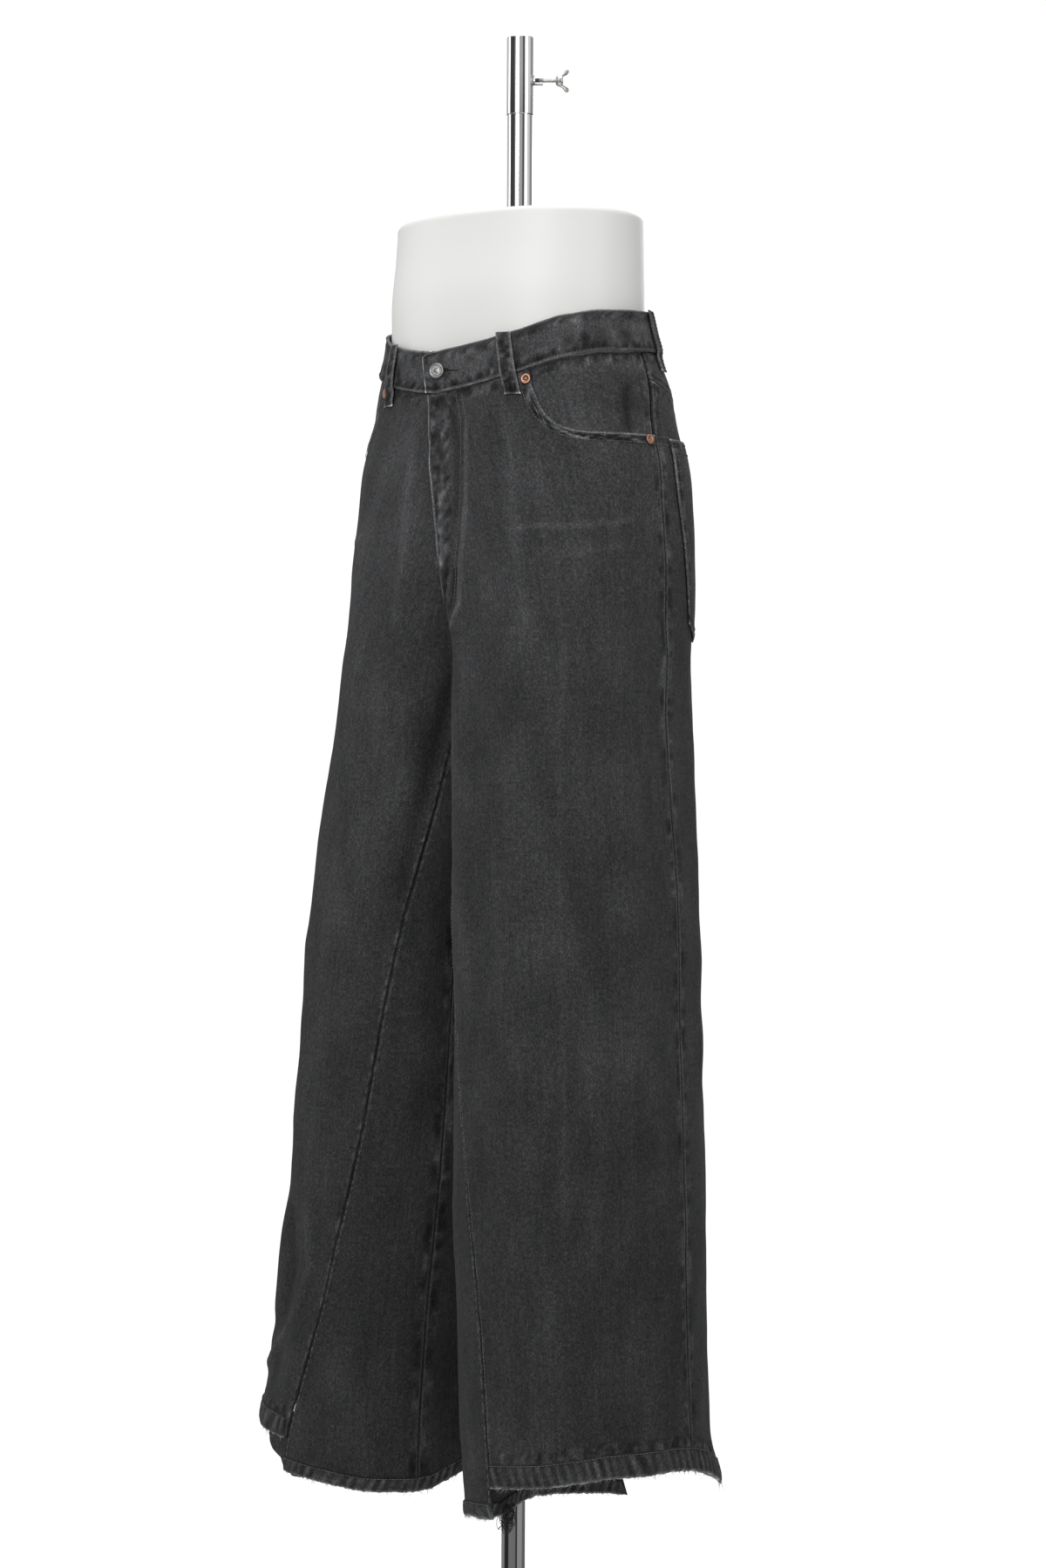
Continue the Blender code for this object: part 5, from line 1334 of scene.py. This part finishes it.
# ---------------------------------------------------------------------------- form and stand
# The form's outline by height: z, then its reach to the sides, to the front and to the back.
FORM = np.array((
    (1.044, 0.104, 0.064, 0.078), (1.050, 0.118, 0.074, 0.090), (1.066, 0.129, 0.080, 0.097),
    (1.100, 0.139, 0.087, 0.101), (1.150, 0.143, 0.092, 0.100), (1.200, 0.1335, 0.0935, 0.0965),
    (1.230, 0.1300, 0.0950, 0.0935), (1.260, 0.1300, 0.0950, 0.0930), (1.300, 0.1287, 0.0890, 0.0932),
    (1.325, 0.1280, 0.0865, 0.0928),
))
FORM_FOOT, FORM_TOP = 1.044, 1.334
FORM_EDGE = 0.006
FORM_EXPONENT = 2.2


def make_form(material):
    """Limbless hip form, smooth all round, with a rounded rim and a flat top."""
    rim_z = FORM_TOP - FORM_EDGE
    rows = [(z, 0.0) for z in (FORM_FOOT, 1.0445, 1.046, *np.linspace(1.050, rim_z, 56))]
    rows += [(rim_z + FORM_EDGE * math.sin(a), FORM_EDGE * (1.0 - math.cos(a)))
             for a in np.linspace(0.0, math.pi / 2, 9)[1:]]
    rows += [(FORM_TOP, FORM_EDGE + step) for step in (0.004, 0.015, 0.035, 0.060)]
    z, inset = np.array(rows).T[:, :, None]
    angles = np.radians(np.arange(0.0, 360.0, 2.0))
    c, s = np.cos(angles), np.sin(angles)
    side, front, back = smooth_columns(FORM, z)
    reach_x, reach_y = np.abs(c) / (side - inset), np.abs(s) / (np.where(s > 0, back, front) - inset)
    r = (reach_x**FORM_EXPONENT + reach_y**FORM_EXPONENT) ** (-1 / FORM_EXPONENT)
    verts = np.stack((r * c, r * s, z + 0.0 * r), axis=-1)
    index = np.arange(r.size).reshape(r.shape)
    after = np.roll(index, -1, axis=1)
    faces = np.stack((index[:-1], after[:-1], after[1:], index[1:]), axis=-1).reshape(-1, 4).tolist()
    faces += [index[0, ::-1].tolist(), index[-1].tolist()]
    mesh = bpy.data.meshes.new("hip_form_skin")
    mesh.from_pydata((verts.reshape(-1, 3) + GARMENT_AT).tolist(), [], faces)
    smoothed(mesh, 50)
    owned(new_object("hip_form_skin", mesh, [material]), "white_form", ("hip_form",))


BASE_RADIUS, BASE_THICK = 0.170, 0.008
COLLAR_RADIUS, COLLAR_TOP = 0.021, 0.040
POLE_RADIUS, POST_RADIUS = 0.011, 0.012
SLEEVE_RADIUS, SLEEVE_BORE, SLEEVE_FROM, SLEEVE_TO, SLEEVE_FLOOR = 0.0127, 0.0105, 1.4386, 1.5110, 0.009
SCREW_Z, SCREW_AZIMUTH, SCREW_ROD, SCREW_TIP_AT = 1.4710, 45.0, 0.00165, 0.0093
BOSS_RADIUS, BOSS_TO = 0.0043, 0.0215
SCREW_HUB_AT, SCREW_HUB_LONG, SCREW_HUB_RADIUS = 0.0330, 0.0070, 0.0050
WING_TIP, WING_THICK = 0.0110, 0.0026


def make_stand(chrome):
    low, bore, edge = BASE_THICK + GAP, POLE_RADIUS + GAP, 0.002
    plate = [(0.0, BASE_THICK), (0.060, BASE_THICK),
             *arc_profile(BASE_RADIUS - edge, BASE_THICK - edge, edge, 90, 0),
             *arc_profile(BASE_RADIUS - edge, edge, edge, 0, -90), (0.0, 0.0)]
    lathe("base_plate_skin", plate, chrome, segments=160, replaced=("base_plate",))
    collar = [(bore, COLLAR_TOP), *arc_profile(COLLAR_RADIUS - 0.003, COLLAR_TOP - 0.003, 0.003, 90, 0),
              (COLLAR_RADIUS, low + 0.001), (COLLAR_RADIUS - 0.001, low), (bore, low), (bore, COLLAR_TOP)]
    lathe("foot_collar_skin", collar, chrome, replaced=("foot_collar",))
    for name, radius, top, foot in (("stand_pole", POLE_RADIUS, FORM_FOOT - GAP, low),
                                    ("stand_post", POST_RADIUS, SLEEVE_FROM - GAP, FORM_TOP + GAP)):
        rod = [(0.0, top), (radius, top), (radius, foot), (0.0, foot)]
        lathe(name + "_skin", rod, chrome, replaced=(name,))


def screw_frame(distance):
    turn = Matrix.Rotation(math.radians(SCREW_AZIMUTH), 4, "Z") @ Matrix.Rotation(math.pi / 2, 4, "Y")
    return Matrix.Translation((0.0, 0.0, SCREW_Z)) @ turn @ Matrix.Translation((0.0, 0.0, distance))


def make_sleeve(chrome):
    rim, round_off = 0.0007, 0.0006
    floor = SLEEVE_FROM + SLEEVE_FLOOR
    hole, start = SCREW_ROD + GAP, SLEEVE_RADIUS - 0.0012
    tube = [(0.0, floor), (SLEEVE_BORE, floor),
            *arc_profile(SLEEVE_BORE + rim, SLEEVE_TO - rim, rim, 180, 90),
            *arc_profile(SLEEVE_RADIUS - rim, SLEEVE_TO - rim, rim, 90, 0),
            *arc_profile(SLEEVE_RADIUS - rim, SLEEVE_FROM + rim, rim, 0, -90), (0.0, SLEEVE_FROM)]
    sleeve = lathe("stand_sleeve_skin", tube, chrome, replaced=("stand_sleeve",))
    bore_out(sleeve, hole, screw_frame(0.011), 0.012)
    boss = [(hole, start), (hole, BOSS_TO),
            *arc_profile(BOSS_RADIUS - round_off, BOSS_TO - round_off, round_off, 90, 0),
            (BOSS_RADIUS, start + 0.0022), (BOSS_RADIUS + 0.0008, start + 0.0010),
            (BOSS_RADIUS + 0.0016, start), (hole, start)]
    lathe("stand_sleeve_boss", boss, chrome, screw_frame(0.0), 40)


def bore_out(obj, radius, at, long):
    """Round hole through an object, centred on the matrix at."""
    shape = bmesh.new()
    bmesh.ops.create_cone(shape, cap_ends=True, segments=32, radius1=radius, radius2=radius, depth=long,
                          matrix=at)
    cutter = new_object("cutter", mesh_of(shape, "cutter"))
    cut = obj.modifiers.new("Hole", "BOOLEAN")
    cut.object = cutter
    cut.solver = "EXACT"
    drilled = bpy.data.meshes.new_from_object(obj.evaluated_get(bpy.context.evaluated_depsgraph_get()))
    obj.modifiers.clear()
    obj.data = drilled
    bpy.data.objects.remove(cutter)


THREAD_PITCH, THREAD_DEEP = 0.0007, 0.00016
HUB_END, HUB_ROUND = SCREW_HUB_AT + SCREW_HUB_LONG, 0.0022
WING = ((0.0012, 0.0008), (0.0050, 0.0022), (WING_TIP - 0.0040, 0.0062), (WING_TIP - 0.0015, 0.0078),
        (WING_TIP, 0.0096), (WING_TIP - 0.0006, 0.0116), (WING_TIP - 0.0028, 0.0122),
        (WING_TIP - 0.0050, 0.0108), (0.0036, 0.0062), (0.0012, 0.0052))


def make_thumbscrew(metal):
    """Threaded rod, round hub and two lobed wings."""
    profile = [(0.0, SCREW_TIP_AT), (SCREW_ROD - 0.0004, SCREW_TIP_AT)]
    z = SCREW_TIP_AT + 0.0004
    while z < SCREW_HUB_AT:
        profile += [(SCREW_ROD - THREAD_DEEP, z), (SCREW_ROD, z + THREAD_PITCH / 2)]
        z += THREAD_PITCH
    profile += [(SCREW_ROD, SCREW_HUB_AT), (0.0036, SCREW_HUB_AT + 0.0002),
                (SCREW_HUB_RADIUS, SCREW_HUB_AT + 0.0020),
                *arc_profile(SCREW_HUB_RADIUS - HUB_ROUND, HUB_END - HUB_ROUND, HUB_ROUND, 0, 90),
                (0.0, HUB_END)]
    lathe("thumbscrew_skin", profile[::-1], metal, screw_frame(0.0), 40, replaced=("thumbscrew",),
          body=SCREW_BODY)
    for name, mirror in (("thumbscrew_wing_up", 1.0), ("thumbscrew_wing_down", -1.0)):
        shape = bmesh.new()
        face = shape.faces.new([shape.verts.new((mirror * x, -WING_THICK / 2, z)) for x, z in WING])
        moved = [item for item in bmesh.ops.extrude_face_region(shape, geom=[face])["geom"]
                 if isinstance(item, bmesh.types.BMVert)]
        bmesh.ops.translate(shape, verts=moved, vec=(0.0, WING_THICK, 0.0))
        bmesh.ops.recalc_face_normals(shape, faces=shape.faces)
        mesh = mesh_of(shape, name)
        mesh.transform(screw_frame(SCREW_HUB_AT + 0.0004))
        mesh.shade_smooth()
        wing = owned(new_object(name, mesh, [metal]), "chrome", body=SCREW_BODY)
        bevel = wing.modifiers.new("Round", "BEVEL")
        bevel.width = 0.0008
        bevel.segments = 4
        bevel.limit_method = "ANGLE"
        bevel.angle_limit = math.radians(25)


# ---------------------------------------------------------------------------- studio
CAMERA_DISTANCE, CAMERA_Z, CAMERA_ASIDE = 3.5, 0.815, 0.0057
CAMERA_ROLL = 0.0049
FOCAL_PIXELS, IMAGE_HEIGHT = 4305.0, 1799.0


def make_camera():
    data = bpy.data.cameras.new("camera")
    data.lens = FOCAL_PIXELS * 36.0 / IMAGE_HEIGHT
    data.sensor_width = 36.0
    camera = new_object("camera", data)
    right, up = Vector((math.sqrt(0.5), math.sqrt(0.5), 0.0)), Vector((0.0, 0.0, 1.0))
    back = Vector((math.sqrt(0.5), -math.sqrt(0.5), 0.0))
    c, s = math.cos(CAMERA_ROLL), math.sin(CAMERA_ROLL)
    turn = Matrix((c * right + s * up, c * up - s * right, back)).transposed().to_4x4()
    place = back * CAMERA_DISTANCE + right * CAMERA_ASIDE + up * CAMERA_Z
    camera.matrix_world = Matrix.Translation(place) @ turn
    bpy.context.scene.camera = camera


# Area lights: name, place, target, size, watts, colour.
MIDDLE, WHITE = (0.0, 0.0, 0.85), (1.0, 1.0, 1.0)
LIGHTS = (
    ("key", (1.3, -3.4, 2.2), MIDDLE, (1.6, 2.4), 62.0, WHITE),
    ("fill", (3.4, 0.6, 1.5), MIDDLE, (1.2, 2.2), 18.0, (1.0, 0.99, 0.97)),
    ("left", (-2.8, -1.6, 1.4), MIDDLE, (1.0, 2.2), 13.0, WHITE),
    ("behind", (-1.6, 3.0, 2.0), MIDDLE, (1.6, 2.0), 34.0, WHITE),
    ("overhead", (0.0, 0.0, 3.4), (0.0, 0.0, 0.0), (2.6, 2.6), 40.0, WHITE),
)


def make_light(name, place, target, size, watts, colour):
    data = bpy.data.lights.new(name, "AREA")
    data.shape = "RECTANGLE"
    data.size, data.size_y = size
    data.energy = watts
    data.color = colour
    light = new_object(name, data)
    light.location = place
    light.rotation_euler = (Vector(target) - Vector(place)).to_track_quat("-Z", "Y").to_euler()


# What shiny metal sees round it: brightness by angle from the camera's side of the stand.
WALLS = ((-180.0, 0.48), (-100.0, 0.52), (-90.0, 0.05), (-52.0, 0.05), (-42.0, 0.42), (18.0, 0.38),
         (24.0, 0.08), (36.0, 0.08), (42.0, 0.68), (90.0, 0.64), (104.0, 0.24), (179.0, 0.42))
CAMERA_AZIMUTH = -45.0
# How bright it is below and above the eye, reached this steeply down and up.
WALLS_LOW, WALLS_HIGH, WALLS_STEEP = 0.42, 1.15, 0.20


def studio_walls(n):
    """Background with upright pale and dark bands, for reflections only."""
    where = n.node("ShaderNodeTexCoord", {}, "Generated")
    round_it = n.node("ShaderNodeTexGradient", {"Vector": where}, "Fac", gradient_type="RADIAL")
    colour = n.node("ShaderNodeValToRGB", {"Fac": round_it}, "Color")
    elements = colour.node.color_ramp.elements
    stops = sorted((((angle + CAMERA_AZIMUTH) / 360.0 + 0.5) % 1.0, value) for angle, value in WALLS)
    for place, value in stops[1:-1]:
        elements.new(place).color = (value, value, value, 1.0)
    for element, (place, value) in zip((elements[0], elements[-1]), (stops[0], stops[-1])):
        element.position = place
        element.color = (value, value, value, 1.0)
    height = n.node("ShaderNodeSeparateXYZ", {"Vector": where}, "Z")
    rise = n.node("ShaderNodeMapRange", {"Value": height, "From Min": -WALLS_STEEP, "From Max": WALLS_STEEP,
                                         "To Min": WALLS_LOW, "To Max": WALLS_HIGH})
    return n.node("ShaderNodeBackground", {"Color": colour, "Strength": rise})


def make_studio():
    """White to the camera, soft grey light on the pieces, and the banded walls in reflections."""
    world = bpy.data.worlds.new("studio")
    n = Nodes(world)
    n.tree.nodes.clear()
    backdrop, soft = (n.node("ShaderNodeBackground", {"Color": (*WHITE, 1.0), "Strength": strength})
                      for strength in (1.05, 0.36))
    glossy, seen = (n.node("ShaderNodeLightPath", {}, ray) for ray in ("Is Glossy Ray", "Is Camera Ray"))
    shiny = n.node("ShaderNodeMixShader", {"Fac": glossy, 1: soft, 2: studio_walls(n)})
    every = n.node("ShaderNodeMixShader", {"Fac": seen, 1: shiny, 2: backdrop})
    n.put(n.tree.nodes.new("ShaderNodeOutputWorld").inputs["Surface"], every)
    bpy.context.scene.world = world
    for light in LIGHTS:
        make_light(*light)
    make_floor()


def make_floor():
    """Pale floor that melts into the backdrop away from the stand."""
    shape = bmesh.new()
    bmesh.ops.create_circle(shape, cap_ends=True, segments=96, radius=2.2)
    n = Nodes(bpy.data.materials.new("pale_floor"))
    where = n.position()
    distance = n.node("ShaderNodeVectorMath", {0: where}, "Value", operation="LENGTH")
    fade = n.node("ShaderNodeMapRange", {"Value": distance, "From Min": 0.28, "From Max": 1.35, "To Min": 1.0,
                                         "To Max": 0.0}, interpolation_type="SMOOTHSTEP")
    grain = n.noise(where, (60.0, 60.0, 60.0), 3.0, 0.6)
    base = n.tinted((0.92, 0.92, 0.92), n.math("ADD", 1.0, n.centred(grain, 0.02)))
    material = n.shader(Base_Color=base, Roughness=0.7, Alpha=fade, Emission_Color=(*WHITE, 1.0),
                        Emission_Strength=0.35, Specular_IOR_Level=0.1)
    floor = new_object("floor", mesh_of(shape, "floor"), [material])
    floor.location = (0.0, 0.0, -0.0008)
    floor.visible_glossy = False
    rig.stage(floor)


# ---------------------------------------------------------------------------- stitching
J_STITCH = ((-74.8, 1.165), (-74.8, 1.144), (-85.0, 1.074), (-96.2, 1.010), (-101.0, 0.975), (-108.0, 0.960))
RUNNING_LONG, RUNNING_GAP = 0.0036, 0.0034


def path_row(side, path, shift=0.0):
    """Points and normals on a front along a path of (phi, z), moved to its right by a distance."""
    phi, z = np.array(path, float).T
    arc = np.radians(phi) * LEG_RADIUS
    length = np.concatenate(([0.0], np.cumsum(np.hypot(np.diff(arc), np.diff(z)))))
    steps = np.linspace(0.0, length[-1], 160)
    arc, z = np.interp(steps, length, arc), np.interp(steps, length, z)
    slope_arc, slope_z = np.gradient(arc), np.gradient(z)
    size = np.hypot(slope_arc, slope_z)
    phi, z = np.degrees((arc + shift * slope_z / size) / LEG_RADIUS), z - shift * slope_arc / size
    points = surface(side, phi, z, fine=True)
    d_phi = surface(side, phi + 0.1, z) - surface(side, phi - 0.1, z)
    d_z = surface(side, phi, z + 0.0005) - surface(side, phi, z - 0.0005)
    normals = MIRROR[side] * unit(np.cross(d_phi, d_z))
    if side == "left":
        points = raised_fly(points)
    return points + 0.0007 * normals, normals


def leg_rows(pieces, side):
    """Rows of stitches on a leg's panels, whose inner and outer edges swap names from leg to leg."""
    pocket, yoke = pieces[f"back_pocket_{side}"], pieces[f"yoke_{side}"]
    rows = [yoke.line("bottom", distance) for distance in (0.0018, 0.0080)]
    rows += [pocket.line(edge, distance) for edge in ("left", "right", "bottom")
             for distance in (0.0020, 0.0080)]
    rows += [pocket.line("top", distance) for distance in (0.0030, 0.0120)]
    rows += [path_row(side, POCKET_EDGE[1:], shift) for shift in (0.0022, 0.0084)]
    if side == "left":
        rows += [path_row(side, J_STITCH, shift) for shift in (0.0, 0.0062)]
        rows.append(pieces["front_left"].line("left", 0.0024, 0.0004))
    rows.append(pieces[f"back_{side}"].line(OTHER[side], 0.0022))
    for which, edge in (("front", OTHER[side]), ("back", side)):
        rows.append((*pieces[f"insert_{which}_{side}"].line(edge, 0.0030), RUNNING_LONG, RUNNING_GAP))
    return rows


# ---------------------------------------------------------------------------- build
# Flat size and area of one layer of cloth, as cut.
SHEETS = {
    "front": ((0.300, 1.000), 0.240), "back": ((0.350, 0.990), 0.285), "insert": ((0.165, 0.775), 0.0575),
    "yoke": ((0.225, 0.072), 0.0112), "pocket_facing": ((0.130, 0.090), 0.0108),
    "back_pocket": ((0.125, 0.180), 0.0190),
}


def declare(obj, kind, with_pieces=()):
    flat, area = SHEETS[kind]
    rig.sheet(obj, flat=flat, held="hung", rests_on=["hip_form_skin"], area=area,
             with_pieces=list(with_pieces))


def make_legs(walls, thread, dark_thread, pale_thread):
    """Both legs' panels with their hems and stitches, from the hems up to the waist seam."""
    pieces = {}
    for side, seed in zip(SIDES, (0, 20)):
        pieces[f"front_{side}"] = make_front(side, 1 + seed)
        pieces[f"back_{side}"] = make_back(side, 2 + seed)
        pieces[f"insert_front_{side}"] = make_insert(side, "front", 3 + seed)
        pieces[f"insert_back_{side}"] = make_insert(side, "back", 4 + seed)
        pieces[f"yoke_{side}"] = make_yoke(side, 5 + seed)
        pieces[f"pocket_facing_{side}"] = make_facing(side, 6 + seed)
        pieces[f"back_pocket_{side}"] = make_back_pocket(side, 8 + seed)
    built = {name: piece.build(walls, (name, "fly") if name == "front_left" else (name,))
             for name, piece in pieces.items()}
    allowance = make_allowance(9).build(walls)
    for side, seed in zip(SIDES, (501, 502)):
        hems = hems_of(side)
        for name, hem in zip(("front", "back", "insert_front", "insert_back"), hems):
            more = [allowance] if (name, side) == ("insert_front", "right") else []
            declare(built[f"{name}_{side}"], name.split("_")[0], [hem.build(walls), *more])
        for name in ("yoke", "pocket_facing", "back_pocket"):
            declare(built[f"{name}_{side}"], name)
        make_frays(f"hem_frays_{side}", hems, pale_thread, seed)
        rows = [hem.line("top", 0.0017) for hem in hems] + leg_rows(pieces, side)
        stitching(f"stitching_{side}", rows, thread)
    tangle_at = surface("left", 176.0, 0.150) + (0.0, 0.0, 0.002)
    make_tangle("thread_tangle", tangle_at, np.array((0.010, 0.010, 0.016)), 12, dark_thread, 601)


def make_waist(walls, thread):
    """The waistband with its loops and stitches."""
    band = make_waistband()
    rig.sheet(band.build(walls, ("waistband",)), flat=(0.790, 0.041), held="gathered",
             rests_on=["hip_form_skin"])
    rows = [band.line("bottom", 0.0021), band.line("top", 0.0016)]
    for number, (name, angle, lean) in enumerate(LOOPS):
        loop = make_loop(name, angle, lean, number)
        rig.sheet(loop.build(walls, (name,)), flat=(0.0135, 0.070), held="hung",
                 rests_on=["waistband_cloth"])
        rows += [loop.line("left", 0.0022), loop.line("right", 0.0022)]
    stitching("stitching_band", rows, thread)


def main():
    make_camera()
    denim = denim_material("washed_denim", (0.0400, 0.0404, 0.0418))
    inside = denim_material("washed_denim_inside", (0.060, 0.060, 0.061), 0.8)
    thread = thread_material("grey_thread", (0.120, 0.120, 0.122))
    dark_thread = thread_material("dark_thread", (0.030, 0.030, 0.032))
    pale_thread = thread_material("pale_thread", (0.20, 0.20, 0.20))
    chrome = metal_material("bright_chrome", (0.80, 0.81, 0.80), 0.06, 0.06, 500.0)
    zinc = metal_material("dull_zinc", (0.62, 0.62, 0.60), 0.34, 0.3, 900.0)
    silver = metal_material("worn_silver", (0.50, 0.50, 0.49), 0.36, 1.2, 1400.0, 1.2)
    copper = metal_material("copper", (0.40, 0.22, 0.15), 0.42, 1.4, 1200.0, 1.2)

    make_form(form_material())
    make_legs([denim, inside], thread, dark_thread, pale_thread)
    make_waist([denim, inside], thread)
    make_button(silver)
    make_buttonhole(inside, thread)
    for rivet in RIVETS:
        make_rivet(*rivet, copper)
    make_stand(chrome)
    make_sleeve(chrome)
    make_thumbscrew(zinc)
    make_studio()

main()
bpy.context.scene.view_settings.view_transform = "Standard"
visual_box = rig.bounds()
with open("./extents.json", "w") as size_file:
    json.dump({"cad": [[float(v) for v in corner] for corner in cad_box],
               "visual": [[float(v) for v in corner] for corner in visual_box]}, size_file)
